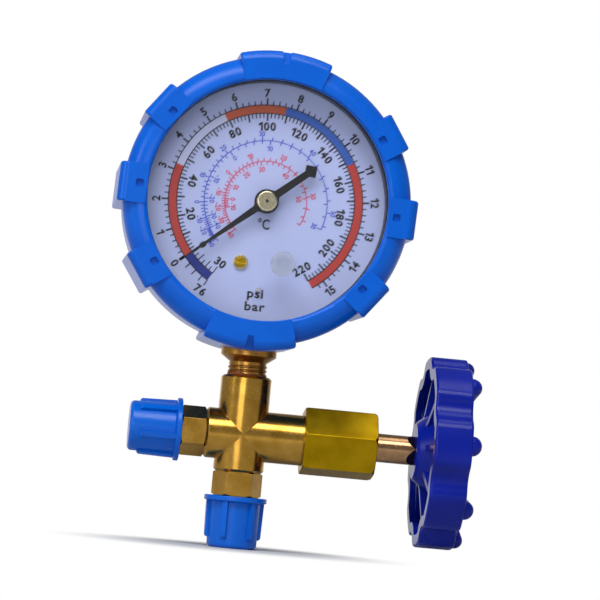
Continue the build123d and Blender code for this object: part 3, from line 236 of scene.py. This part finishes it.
soft_box("key", (-0.15, -0.56, 0.74), 0.80, 0.36, 7.2)
soft_box("side", (-0.75, -0.40, 0.30), 0.16, 0.30, 1.3)
soft_box("front", (-0.33, -1.04, 0.16), 0.44, 0.22, 1.4)
soft_box("overhead", (0.10, -0.15, 0.98), 0.50, 0.36, 1.3)

# %% [markdown]
# ## Finishes for the plastics and rubbers
#
# The boot is soft PVC in one colour, waxy, with a broad soft highlight and a faint orange-peel
# skin. The dust caps are injection-moulded LDPE, a little shinier. The handwheel is a hard
# moulded plastic in ultramarine, with sharper highlights. One function makes them all, because
# they differ only in colour, gloss and the size of their grain.

# %% A moulded plastic finish
def moulded(name, colour, mottle, roughness, grain_mm, bump_um, **values):
    """Moulded plastic: a colour with slow mottling and a fine skin.
    grain_mm is the scale of the skin's grain and bump_um its depth in micrometres."""
    material, tree, shader = finish(name, **values)
    place = add(tree, "ShaderNodeTexCoord").outputs["Object"]
    slow = add(tree, "ShaderNodeTexNoise", {"Vector": place, "Scale": 1 / (9 * mm), "Detail": 3.0})
    fine = add(tree, "ShaderNodeTexNoise", {"Vector": place, "Scale": 1 / (grain_mm * mm),
                                            "Detail": 4.0})
    tone = add(tree, "ShaderNodeMix", {0: slow.outputs["Fac"], 6: linear(colour),
                                       7: linear(mottle)}, data_type="RGBA")
    gloss = add(tree, "ShaderNodeMapRange", {0: fine.outputs["Fac"], 3: roughness - 0.05,
                                             4: roughness + 0.07})
    skin = add(tree, "ShaderNodeBump", {"Strength": 0.5, "Distance": bump_um * 1e-6,
                                        "Height": fine.outputs["Fac"]})
    tree.links.new(tone.outputs[2], shader.inputs["Base Color"])
    tree.links.new(gloss.outputs[0], shader.inputs["Roughness"])
    tree.links.new(skin.outputs[0], shader.inputs["Normal"])
    return material


boot_vinyl = moulded("dip-moulded soft PVC", "#005ECC", "#0054BC", 0.28, 0.6, 25,
                     Specular_IOR_Level=0.2)
cap_plastic = moulded("injection-moulded LDPE", "#0060CC", "#0056BC", 0.24, 0.8, 20,
                      Specular_IOR_Level=0.25)
wheel_plastic = moulded("injection-moulded hard plastic", "#0A2094", "#06167E", 0.24, 0.5, 18,
                        Specular_IOR_Level=0.2)
spacer_plastic = moulded("injection-moulded black nylon", "#1A1A1C", "#101012", 0.45, 0.5, 20)
gasket_rubber = moulded("compression-moulded nitrile rubber", "#131313", "#1C1C1C", 0.6, 0.3, 15)
print("plastics:", boot_vinyl.name, "/", cap_plastic.name, "/", wheel_plastic.name)

# %% [markdown]
# ## Finishes for the metals
#
# The cross is hot-forged brass, turned bright and tumbled, so it mirrors dark and light bands
# along its barrels. The nut is milled from hexagon bar, which leaves satin, greener faces. The
# threads of the gauge's socket are redder, because they were cut and never polished. The cap on
# the pointer is nickel-plated, and the zero screw sits in a pale polished bush. All keep a
# metallic value of 1 and take their tint from the base colour. A Bevel node bends the shading
# beside sharp edges, so that they catch a line of light, as edges do once tumbling has broken
# them.

# %% A metal finish
def metal(name, colour, worn, roughness, spread, streak_mm, bump_um=4, stretch=(1, 1, 1),
          edge_mm=0.15):
    """Metal with a patchy tint and polish. streak_mm is the size of its streaks, stretch their
    shape, and edge_mm the radius to which tumbling has broken its sharp edges."""
    material, tree, shader = finish(name, Metallic=1.0)
    place = add(tree, "ShaderNodeTexCoord").outputs["Object"]
    along = add(tree, "ShaderNodeMapping", {"Vector": place, "Scale": stretch})
    patch = add(tree, "ShaderNodeTexNoise", {"Vector": place, "Scale": 1 / (5 * mm), "Detail": 4.0})
    streak = add(tree, "ShaderNodeTexNoise", {"Vector": along.outputs[0], "Detail": 5.0,
                                              "Scale": 1 / (streak_mm * mm), "Roughness": 0.6})
    tint = add(tree, "ShaderNodeMapRange", {0: patch.outputs["Fac"], 1: 0.35, 2: 0.7})
    tone = add(tree, "ShaderNodeMix", {0: tint.outputs[0], 6: linear(colour), 7: linear(worn)},
               data_type="RGBA")
    gloss = add(tree, "ShaderNodeMapRange", {0: streak.outputs["Fac"], 1: 0.3, 2: 0.7,
                                             3: roughness, 4: roughness + spread})
    edge = add(tree, "ShaderNodeBevel", {"Radius": edge_mm * mm}, samples=6)
    lines = add(tree, "ShaderNodeBump", {"Strength": 0.4, "Distance": bump_um * 1e-6,
                                         "Height": streak.outputs["Fac"],
                                         "Normal": edge.outputs[0]})
    tree.links.new(tone.outputs[2], shader.inputs["Base Color"])
    tree.links.new(gloss.outputs[0], shader.inputs["Roughness"])
    tree.links.new(lines.outputs[0], shader.inputs["Normal"])
    return material


forged_brass = metal("hot-forged and tumbled brass", "#C29644", "#A87C2C", 0.16, 0.12, 0.5,
                     bump_um=2)
nut_brass = metal("milled hexagon-bar brass", "#B49010", "#9E7A06", 0.32, 0.10, 0.25, bump_um=2,
                  stretch=(0.1, 1, 1), edge_mm=0.4)
socket_brass = metal("turned brass with cut threads", "#B0823C", "#9C6C34", 0.20, 0.18, 0.3)
small_brass = metal("turned brass", "#E2BC30", "#D4A824", 0.14, 0.12, 0.3, bump_um=1)
bush_brass = metal("polished turned brass", "#F4E6B4", "#ECDCA0", 0.1, 0.1, 0.3, bump_um=1)
nickel = metal("nickel-plated turned brass", "#CFC6A8", "#C4BA98", 0.24, 0.04, 2.0, bump_um=1)
stem_steel = metal("turned plated steel", "#B89068", "#987450", 0.14, 0.14, 0.3, bump_um=2,
                   stretch=(0.2, 1, 1))
case_steel = metal("pressed and painted steel", "#2A2A2C", "#202022", 0.35, 0.1, 0.5)
plain_steel = metal("zinc-plated steel", "#C6C8CC", "#AEB0B6", 0.25, 0.12, 0.3)
bourdon_bronze = metal("drawn phosphor bronze tube", "#C98B5A", "#B0744A", 0.22, 0.12, 0.4)
spring_bronze = metal("rolled phosphor bronze strip", "#CF9860", "#B8824E", 0.2, 0.1, 0.3)
print("brasses and steels:", len([m for m in bpy.data.materials
                                  if m.name.split()[-1] in ("brass", "steel")]))

# %% [markdown]
# ## The dial and the pointer
#
# The dial is aluminium sheet with a baked enamel in a cool white, which is matt so that the scale
# can be read from the side. The inks are as matt as the enamel. The pointer is blackened brass.
# Faint specks in colour and gloss are enough for all of them, because a dial is nearly even.

# %% Enamel and inks
def enamel(name, colour, speck, roughness, metallic=0.0):
    """Baked enamel or ink: an even colour with faint specks."""
    material, tree, shader = finish(name, Metallic=metallic)
    place = add(tree, "ShaderNodeTexCoord").outputs["Object"]
    specks = add(tree, "ShaderNodeTexNoise", {"Vector": place, "Scale": 1 / (0.7 * mm),
                                              "Detail": 3.0})
    tone = add(tree, "ShaderNodeMix", {0: specks.outputs["Fac"], 6: linear(colour),
                                       7: linear(speck)}, data_type="RGBA")
    gloss = add(tree, "ShaderNodeMapRange", {0: specks.outputs["Fac"], 3: roughness - 0.04,
                                             4: roughness + 0.06})
    tree.links.new(tone.outputs[2], shader.inputs["Base Color"])
    tree.links.new(gloss.outputs[0], shader.inputs["Roughness"])
    return material


dial_enamel = enamel("baked white enamel on aluminium", "#B2BCE6", "#ACB6E0", 0.5)
ink_black = enamel("screen-printed black ink", "#101018", "#16161E", 0.5)
ink_red = enamel("screen-printed red ink", "#B43A34", "#AC3630", 0.5)
ink_crimson = enamel("screen-printed crimson ink", "#CC1C44", "#C41840", 0.5)
ink_royal = enamel("screen-printed royal blue ink", "#1E40C4", "#1A3ABC", 0.5)
ink_orange = enamel("screen-printed orange-red ink", "#BE5838", "#B65234", 0.5)
ink_blue = enamel("screen-printed blue ink", "#3460B8", "#2E58AE", 0.5)
ink_navy = enamel("screen-printed dark blue ink", "#162A88", "#12267E", 0.5)
ink_white = enamel("screen-printed white ink", "#C0C6E6", "#BAC0E2", 0.5)
pointer_paint = enamel("blackened brass", "#0C0C10", "#141418", 0.35)
ptfe = enamel("moulded PTFE", "#ECECE8", "#E4E4E0", 0.45)
print("inks:", len([m for m in bpy.data.materials if m.name.endswith("ink")]))

# %% [markdown]
# ## The lens and its plug
#
# The lens is clear acrylic. A flat clear sheet takes away hardly any light, so it is mostly
# transparent by its alpha, and only its gloss shows. Refraction alone would darken the dial and
# need many more samples to come out clean. The plug is softer, hazier PVC, so it shows as a pale
# disc.

# %% Clear plastics
def clear(name, tint, alpha, through, roughness):
    """A clear plastic that mostly lets the light straight through."""
    material, tree, shader = finish(name, Alpha=alpha, IOR=1.49, Transmission_Weight=through)
    place = add(tree, "ShaderNodeTexCoord").outputs["Object"]
    haze = add(tree, "ShaderNodeTexNoise", {"Vector": place, "Scale": 1 / (3 * mm), "Detail": 2.0})
    gloss = add(tree, "ShaderNodeMapRange", {0: haze.outputs["Fac"], 3: roughness,
                                             4: roughness + 0.04})
    shader.inputs["Base Color"].default_value = linear(tint)
    tree.links.new(gloss.outputs[0], shader.inputs["Roughness"])
    return material


lens_acrylic = clear("cast acrylic sheet", "#FFFFFF", 0.14, 1.0, 0.03)
plug_clear = clear("moulded clear PVC", "#B4BCC4", 0.5, 0.4, 0.2)
print("clear plastics:", lens_acrylic.name, "/", plug_clear.name)

# %% [markdown]
# ## Which piece gets which finish
#
# Every solid takes one finish. The pieces inside the case and the valve get theirs too, because
# they show when the gauge is taken apart. A table by finish is shorter than one by piece, and it
# shows at a glance what is made of the same stock.

# %% Finishes on the solids
finishes = {
    boot_vinyl: ["protective_boot"],
    cap_plastic: ["left_port_cap", "bottom_port_cap"],
    wheel_plastic: ["handwheel"],
    forged_brass: ["valve_body", "left_port_nipple", "bottom_port_nipple"],
    nut_brass: ["bonnet_nut"],
    socket_brass: ["gauge_socket"],
    bush_brass: ["zero_screw_bush"],
    small_brass: ["zero_screw", "packing_gland", "movement_rear_plate", "movement_front_plate",
                  "movement_pillars", "sector_gear", "tube_tip", "hairspring_stud"],
    nickel: ["pointer_cap"],
    stem_steel: ["valve_stem"],
    case_steel: ["gauge_case"],
    plain_steel: ["wheel_washer", "wheel_screw", "stop_pin", "case_screws", "gland_washer",
                  "movement_plate_screws", "movement_foot_screws", "sector_arbor", "pinion_arbor",
                  "sector_link_pin", "tip_link_pin", "link"],
    bourdon_bronze: ["bourdon_tube"],
    spring_bronze: ["hairspring"],
    spacer_plastic: ["dial_spacer"],
    gasket_rubber: ["lens_gasket", "stem_o_ring", "vent_plug"],
    ptfe: ["stem_packing", "seat_disc"],
    dial_enamel: ["dial_face"],
    pointer_paint: ["pointer"],
    lens_acrylic: ["lens"],
    plug_clear: ["lens_plug"],
}
for material, names in finishes.items():
    for name in names:
        nodes[name].data.materials.clear()
        nodes[name].data.materials.append(material)
left_over = sorted(set(nodes) - {n for names in finishes.values() for n in names})
print("nodes without a finish:", left_over)

# %% [markdown]
# ## The dial's print
#
# A dial is screen-printed, one ink after another. Here each ink is a thin sheet of mesh, a few
# hundredths of a millimetre proud, so that its edges stay sharp from any distance. Every point is
# given by a radius in mm and an angle in degrees clockwise from the top, as on a drawing board.

# %% Helpers that lay ink on the dial
dial_front = -10.0 * mm
dial_height = 93.7 * mm
under_lift, over_lift = 0.03, 0.05    # how far two layers of ink stand off the dial, in mm


def on_dial(radius, angle):
    """A point on the dial, in metres from the pointer's axis."""
    turn = math.radians(angle)
    return Vector((radius * math.sin(turn), radius * math.cos(turn))) * mm


def add_piece(name, form, material, body="gauge_and_valve"):
    """Turns a bmesh into a piece that rides on a body of the frame."""
    mesh = bpy.data.meshes.new(name)
    form.to_mesh(mesh)
    form.free()
    mesh.materials.append(material)
    piece = bpy.data.objects.new(name, mesh)
    bpy.context.scene.collection.objects.link(piece)
    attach(piece, body)
    return piece


def print_sheet(name, faces, lift, ink, body="gauge_and_valve"):
    """One ink layer, from lists of points on the dial, lifted off it by lift mm."""
    sheet = bmesh.new()
    for points in faces:
        corners = [sheet.verts.new((p[0], dial_front - lift * mm, dial_height + p[1]))
                   for p in points]
        face = sheet.faces.new(corners)
        face.normal_update()
        if face.normal.y > 0:
            face.normal_flip()
    add_piece(name, sheet, ink, body)


def band(inner, outer, start, end):
    """Faces of an arc between two radii, in steps of about 2 degrees."""
    steps = max(1, round((end - start) / 2))
    angles = [start + (end - start) * i / steps for i in range(steps + 1)]
    return [[on_dial(inner, a), on_dial(outer, a), on_dial(outer, b), on_dial(inner, b)]
            for a, b in zip(angles, angles[1:])]


def tick(angle, inner, outer, width):
    """A radial line."""
    turn = math.radians(angle)
    side = Vector((math.cos(turn), -math.sin(turn))) * width / 2 * mm
    low, high = on_dial(inner, angle), on_dial(outer, angle)
    return [low - side, low + side, high + side, high - side]


print("dial centre at height", round(dial_height / mm, 1), "mm")

# %% [markdown]
# ## The coloured ring
#
# Zones of colour let a fitter read the state of the system at a glance, and dark blue is vacuum.
# The pointer sweeps 276 degrees from 0 to 220 psi, and the bar scale shares that sweep, so the
# two scales have to agree all round. One function for each scale turns a pressure into an angle,
# and every zone, tick and number is then placed by its pressure.

# %% Coloured zones
vacuum_end = -148.5
ring_inner, ring_outer = 24.6, 26.8


def psi_angle(value):
    """The angle of a pressure in psi."""
    return -129.5 + 1.2545 * value


def bar_angle(value):
    """The angle of a pressure in bar."""
    return -129.2 + 17.85 * value


edges = [vacuum_end] + [psi_angle(value) for value in (0, 46, 79, 109, 151.5, 220)]
zones = [("vacuum", ink_navy), ("red_low", ink_red), ("white", ink_white), ("orange", ink_orange),
         ("blue", ink_blue), ("red_high", ink_red)]
for (name, ink), start, end in zip(zones, edges, edges[1:]):
    print_sheet("band_" + name, band(ring_inner, ring_outer, start, end), under_lift, ink)
print("zones:", len(zones))

# %% [markdown]
# ## Ticks
#
# Two thin lines bound the ring. Psi ticks point inwards from it, with a longer one at each 10
# psi, and bar ticks point outwards, five to the bar. The two ticks at zero are bold. All of this
# is one black sheet, laid over the colours, as one pass of the printer's screen would be.

# %% Ticks
psi_long, psi_short = 22.4, 23.2      # where ticks end, as radii
bar_long, bar_short = 28.7, 27.95
bold, thin, hair = 0.48, 0.32, 0.3    # their widths


def vacuum_angle(share):
    """The angle of a share of full vacuum."""
    return psi_angle(0) + (vacuum_end - psi_angle(0)) * share


ticks = band(24.4, 24.68, vacuum_end, edges[-1]) + band(26.72, 27.0, vacuum_end, edges[-1])
for value in range(0, 221, 2):
    reach, width = (psi_long, bold) if value % 10 == 0 else (psi_short, thin)
    ticks.append(tick(psi_angle(value), reach, ring_inner, width))
for fifth in range(0, 77):
    reach, width = (bar_long, bold) if fifth % 5 == 0 else (bar_short, thin)
    ticks.append(tick(bar_angle(fifth / 5), ring_outer, reach, width))
ticks += [tick(psi_angle(0), 22.5, ring_inner, 0.8), tick(bar_angle(0), ring_outer, 28.6, 0.8)]
for step in range(1, 7):
    reach = 22.3 if step % 2 == 0 else psi_short
    ticks.append(tick(vacuum_angle(step / 6), reach, ring_inner, hair))
for value in (20, 40, 60, 76):
    ticks.append(tick(vacuum_angle(value / 76), ring_outer, 28.6, hair))
print_sheet("dial_ticks", ticks, over_lift, ink_black)
print("ticks:", len(ticks))

# %% [markdown]
# ## Letters
#
# Text curves turned into flat meshes give clean numerals that need no picture. They are thickened
# a little, because print spreads. The 1 is drawn from listed points: a plain stroke would look like
# a tick.
# Numbers lean outwards on their radius, and those low on either side are turned over, so that
# they still read from below.

# %% Lettering
digit_height = 0.7     # of the font's numerals, in its own units, as are the next two
digit_gap = 0.08
one_stroke = 0.09
turn_right = 115


def glyph(sign, weight):
    """A flat mesh of one sign with its left edge at 0."""
    if sign == "1":
        left, stroke = 0.2, one_stroke + 2 * weight
        top = digit_height + weight
        outline = [(left, -weight), (left + stroke, -weight), (left + stroke, top),
                   (left + 0.02, top), (0, 0.58), (0, 0.58 - stroke), (left, 0.64 - stroke)]
        mesh = bpy.data.meshes.new("one")
        mesh.from_pydata([(x, y, 0) for x, y in outline], [], [tuple(range(len(outline)))])
        return mesh
    curve = bpy.data.curves.new("sign", "FONT")
    curve.body = sign
    curve.offset = weight
    curve.resolution_u = 3
    shape = bpy.data.objects.new("sign", curve)
    mesh = bpy.data.meshes.new_from_object(shape)
    bpy.data.objects.remove(shape)
    bpy.data.curves.remove(curve)
    mesh.transform(Matrix.Translation((-min(v.co.x for v in mesh.vertices), 0, 0)))
    return mesh


def lettering(name, marks, height, weight, narrow, ink, turn_left=-70):
    """Flat ink letters. Each mark is a text, its radius, its angle and whether it stays upright.
    Marks past turn_left or turn_right are turned over. The height is in mm, and weight thickens."""
    letters = bmesh.new()
    for text, radius, angle, upright in marks:
        width, signs = 0.0, []
        for sign in text:
            mesh = glyph(sign, weight)
            signs.append((mesh, width))
            width += max(v.co.x for v in mesh.vertices) + digit_gap
        turn = 0 if upright else -angle + (180 if angle < turn_left or angle > turn_right else 0)
        spot = on_dial(radius, angle)
        size = height / digit_height * mm
        laid = (Matrix.Translation((0, dial_front - over_lift * mm, dial_height))
                @ Matrix.Rotation(math.radians(90), 4, "X")
                @ Matrix.Translation((spot.x, spot.y, 0))
                @ Matrix.Rotation(math.radians(turn), 4, "Z")
                @ Matrix.Diagonal((size * narrow, size, 1, 1)))
        for mesh, left in signs:
            centred = Matrix.Translation((left - (width - digit_gap) / 2, -digit_height / 2, 0))
            mesh.transform(laid @ centred)
            letters.from_mesh(mesh)
            bpy.data.meshes.remove(mesh)
    add_piece(name, letters, ink)


print("numerals are turned over past", turn_right, "degrees")

# %% [markdown]
# ## Numbers and units
#
# The psi numbers stand inside the ring and the bar numbers outside it, both in black. At the far
# left each scale ends with full vacuum: 30 inches and 76 centimetres of mercury. The units stand
# below the pointer's hub, upright. Each group is one piece, because it is one ink.

# %% Numbers and units
psi_radius, bar_radius = 20.9, 30.2
number_height = 2.15
psi_marks = [(str(value), psi_radius, psi_angle(value), False) for value in range(0, 221, 20)]
psi_marks.append(("30", psi_radius, vacuum_end, False))
bar_marks = [(str(value), bar_radius, bar_angle(value), False) for value in range(16)]
bar_marks.append(("76", bar_radius, vacuum_end, False))
unit_marks = [("psi", 25.3, 181.3, True), ("bar", 28.9, 180.8, True)]
lettering("numbers_psi", psi_marks, number_height, 0.042, 0.98, ink_black)
lettering("numbers_bar", bar_marks, number_height, 0.034, 0.98, ink_black,
          turn_left=-105)
lettering("units", unit_marks, 2.4, 0.028, 1.12, ink_black)
lettering("degrees_celsius", [("°C", 6.1, 180, True)], 2.75, 0.02, 0.8, ink_black)
print("numbers on the pressure scales:", len(psi_marks + bar_marks))

# %% [markdown]
# ## The pointer's hub
#
# A pointer is stamped from sheet, and the die rounds the corners where its arms leave the round
# hub. Those fillets are a thin collar here, laid round the CAD pointer's hub with a flare for
# each arm. Its outline is one loop of radii, which is simpler than cutting arcs. A disc of black
# ink on the cap is painted shade: it stands for the shade inside the punch mark that fastens the
# cap. Both turn with the pointer.

# %% Painted shade in the punch mark of the pointer's cap
mark_radius = 0.45
cap_mesh = nodes["pointer_cap"]
cap_front = min((cap_mesh.matrix_world @ v.co).y for v in cap_mesh.data.vertices)
# The black ink here is painted shade: a disc that stands for the shade inside the punch mark's
# recess.
punch_shade_disc = [on_dial(mark_radius, 22.5 * i) for i in range(16)]
print_sheet("painted_shade_punch_mark", [punch_shade_disc], (dial_front - cap_front) / mm + 0.02, ink_black,
            "pointer_and_pinion")
print("cap front", round((dial_front - cap_front) / mm, 2), "mm off the dial")

# %% Collar with two flares
hub_radius, cap_radius = 3.35, 3.02
collar_front, collar_thickness = 3.12, 0.74    # off the dial, and back from there
# For the tail at 180 degrees and the tip at 0: degrees aside from the arm, and the radius there.
flares = {180: [(9, 4.7), (13.5, 3.95), (20, 3.55), (30, hub_radius)],
          0: [(10, 4.2), (16, 3.65), (25, hub_radius)]}


def collar_radius(offset):
    """The collar's outer radius at an angle from the pointer's tip."""
    for direction, steps in flares.items():
        aside = abs((offset - direction + 180) % 360 - 180)
        for (low, start), (high, end) in zip([(0, steps[0][1])] + steps, steps):
            if aside <= high:
                return start + (end - start) * (aside - low) / (high - low)
    return hub_radius


collar = bmesh.new()
loops = []
for turn in range(0, 360, 3):
    angle = psi_angle(0) + turn
    rim = [on_dial(cap_radius, angle), on_dial(collar_radius(turn), angle)]
    loops.append([collar.verts.new((p[0], dial_front - collar_front * mm, dial_height + p[1]))
                  for p in rim])
for one, two in zip(loops, loops[1:] + loops[:1]):
    collar.faces.new((one[0], one[1], two[1], two[0]))
grown = bmesh.ops.extrude_face_region(collar, geom=collar.faces[:])
back = [v for v in grown["geom"] if isinstance(v, bmesh.types.BMVert)]
bmesh.ops.translate(collar, verts=back, vec=(0, collar_thickness * mm, 0))
bmesh.ops.recalc_face_normals(collar, faces=collar.faces[:])
print("collar faces:", len(collar.faces))
add_piece("pointer_hub_collar", collar, pointer_paint, "pointer_and_pinion")

# %% [markdown]
# ## The temperature scales
#
# The scales inside the black one give the temperature at which refrigerants boil at each
# pressure. Each colour has one arc, with one scale outside it and another inside. Their steps
# shrink to the left, because vapour pressure rises ever faster with temperature. So each scale is
# a table of temperatures and angles, and the ticks between are spread evenly.

# %% The two temperature scales
half_line = 0.12
long_tick, short_tick = 1.3, 0.95


def between(steps, value):
    """The angle of a value on an uneven scale, from (value, angle) pairs in rising order."""
    for (low, start), (high, end) in zip(steps, steps[1:]):
        if value <= high:
            return start + (end - start) * (value - low) / (high - low)


# Each scale: the arc's radius, 1 for its outer or -1 for its inner side, and the table.
scales = {
    "blue_outer": (17.0, 1, [(-40, -131.7), (-20, -119.9), (-10, -110), (0, -95.4), (10, -72),
                             (20, -43.6), (30, -8.3), (40, 38.1), (50, 94.5), (52, 107.4)]),
    "blue_inner": (17.0, -1, [(-40, -120), (-30, -109), (-20, -91.7), (-10, -70.4), (0, -40.6),
                              (10, -0.7), (20, 49.5), (30, 111)]),
    "red_outer": (11.3, 1, [(-40, -136.5), (-30, -116.5), (-20, -100.9), (-10, -82.8), (0, -57.1),
                            (10, -23.9), (20, 16.8), (30, 77.6), (32, 94.3), (34, 111)]),
    "red_inner": (11.3, -1, [(-10, -102.8), (0, -90.5), (10, -69.9), (20, -40.7), (30, -12),
                             (40, 31.4), (50, 79.6), (52, 93.5), (54, 106.5), (56, 118.5)]),
}
for name, (radius, side, steps) in scales.items():
    ink = ink_royal if "blue" in name else ink_crimson
    if side > 0:
        last = scales[name.replace("outer", "inner")][2][-1][1]
        arc = band(radius - half_line, radius + half_line, steps[0][1] - 3, last + 0.5)
        print_sheet("arc_" + name, arc, under_lift, ink)
    faces = []
    for value in range(steps[0][0], steps[-1][0] + 1, 2):
        reach = long_tick if value % 10 == 0 else short_tick
        inner, outer = sorted((radius + side * half_line, radius + side * reach))
        faces.append(tick(between(steps, value), inner, outer, 0.27))
    print_sheet("scale_" + name, faces, over_lift, ink)
    number_radius = radius + (1.95 if side > 0 else -2.2)
    marks = [(str(value), number_radius, angle, False) for value, angle in steps if value % 10 == 0]
    lettering("numbers_" + name, marks, 1.35, 0.02, 0.9, ink)
print("temperature scales:", len(scales))

# %% [markdown]
# ## The neck's thread
#
# A thread is one V-shaped ridge that winds round the shank. A die cuts it, and its crests fade
# where the die starts. The CAD neck is a plain cylinder at the crests, so the ridge is modelled
# as one strip that follows a helix. A bump map would leave the outline straight.

# %% Threads
def thread(name, start, direction, root, crest, pitch, length, material):
    """A helical ridge round a shank. All lengths are in mm, root and crest are radii."""
    axis = Vector(direction).normalized()
    side = axis.orthogonal().normalized()
    other = axis.cross(side)
    per_turn, fade_steps, inset = 40, 10, 0.4
    count = round(per_turn * (length / pitch - 2 * inset))
    ridge = bmesh.new()
    rows = []
    for i in range(count + 1):
        turn = 2 * math.pi * i / per_turn
        out = side * math.cos(turn) + other * math.sin(turn)
        middle = Vector(start) + axis * (pitch * (inset + i / per_turn))
        fade = min(1, i / fade_steps, (count - i) / fade_steps)
        tip = root + (crest - root) * max(fade, 0.05)
        profile = ((root - 0.15, -0.45), (tip, -0.08), (tip, 0.08), (root - 0.15, 0.45))
        rows.append([ridge.verts.new((middle + axis * (shift * pitch) + out * reach) * mm)
                     for reach, shift in profile])
    for row, following in zip(rows, rows[1:]):
        for a in range(4):
            b = (a + 1) % 4
            ridge.faces.new((row[a], row[b], following[b], following[a]))
    ridge.faces.new(rows[0][::-1])
    ridge.faces.new(rows[-1])
    bmesh.ops.recalc_face_normals(ridge, faces=ridge.faces)
    add_piece(name, ridge, material)
    print(name, "has", round(count / per_turn, 1), "turns")


neck_foot = 45.8    # height of the cross's top face
thread("neck_thread", (0, 0, neck_foot + 0.3), (0, 0, 1), 5.12, 5.5, 1.1, 3.6, socket_brass)

# %% [markdown]
# ## Sealant
#
# The neck is sealed with a red-brown thread paste, and what squeezes out dries as a ragged ring
# at its foot. A swept ring whose height and width wander with two sine waves looks squeezed, and
# it repeats exactly at each run, as a random one would not.

# %% The sealant's finish
sealant, tree, shader = finish("anaerobic thread sealant, squeezed out", Roughness=0.35)
place = add(tree, "ShaderNodeTexCoord").outputs["Object"]
clots = add(tree, "ShaderNodeTexNoise", {"Vector": place, "Scale": 1 / (0.8 * mm), "Detail": 4.0})
tone = add(tree, "ShaderNodeMix", {0: clots.outputs["Fac"], 6: linear("#8A3A1C"),
                                   7: linear("#B8683A")}, data_type="RGBA")
lumps = add(tree, "ShaderNodeBump", {"Strength": 0.8, "Distance": 0.1 * mm,
                                     "Height": clots.outputs["Fac"]})
tree.links.new(tone.outputs[2], shader.inputs["Base Color"])
tree.links.new(lumps.outputs[0], shader.inputs["Normal"])
print("sealant:", sealant.name)

# %% The squeezed-out ring
bead_steps = 72
bead_inner, bead_outer = 5.05, 5.35
bead = bmesh.new()
rings = []
for i in range(bead_steps):
    turn = 2 * math.pi * i / bead_steps
    swell = 0.5 + 0.5 * math.sin(3 * turn + 1) * math.sin(5 * turn)
    out, high = bead_outer + 0.35 * swell, neck_foot + 0.45 + 0.45 * swell
    profile = ((bead_inner, neck_foot), (out, neck_foot), (out, high - 0.2), (out - 0.15, high),
               (bead_inner, high))
    rings.append([bead.verts.new(Vector((r * math.cos(turn), r * math.sin(turn), z)) * mm)
                  for r, z in profile])
for ring, following in zip(rings, rings[1:] + rings[:1]):
    for a in range(5):
        b = (a + 1) % 5
        bead.faces.new((ring[a], ring[b], following[b], following[a]))
bmesh.ops.recalc_face_normals(bead, faces=bead.faces)
piece = add_piece("thread_sealant", bead, sealant)
piece.data.shade_smooth()
print("sealant ring faces:", len(piece.data.polygons))
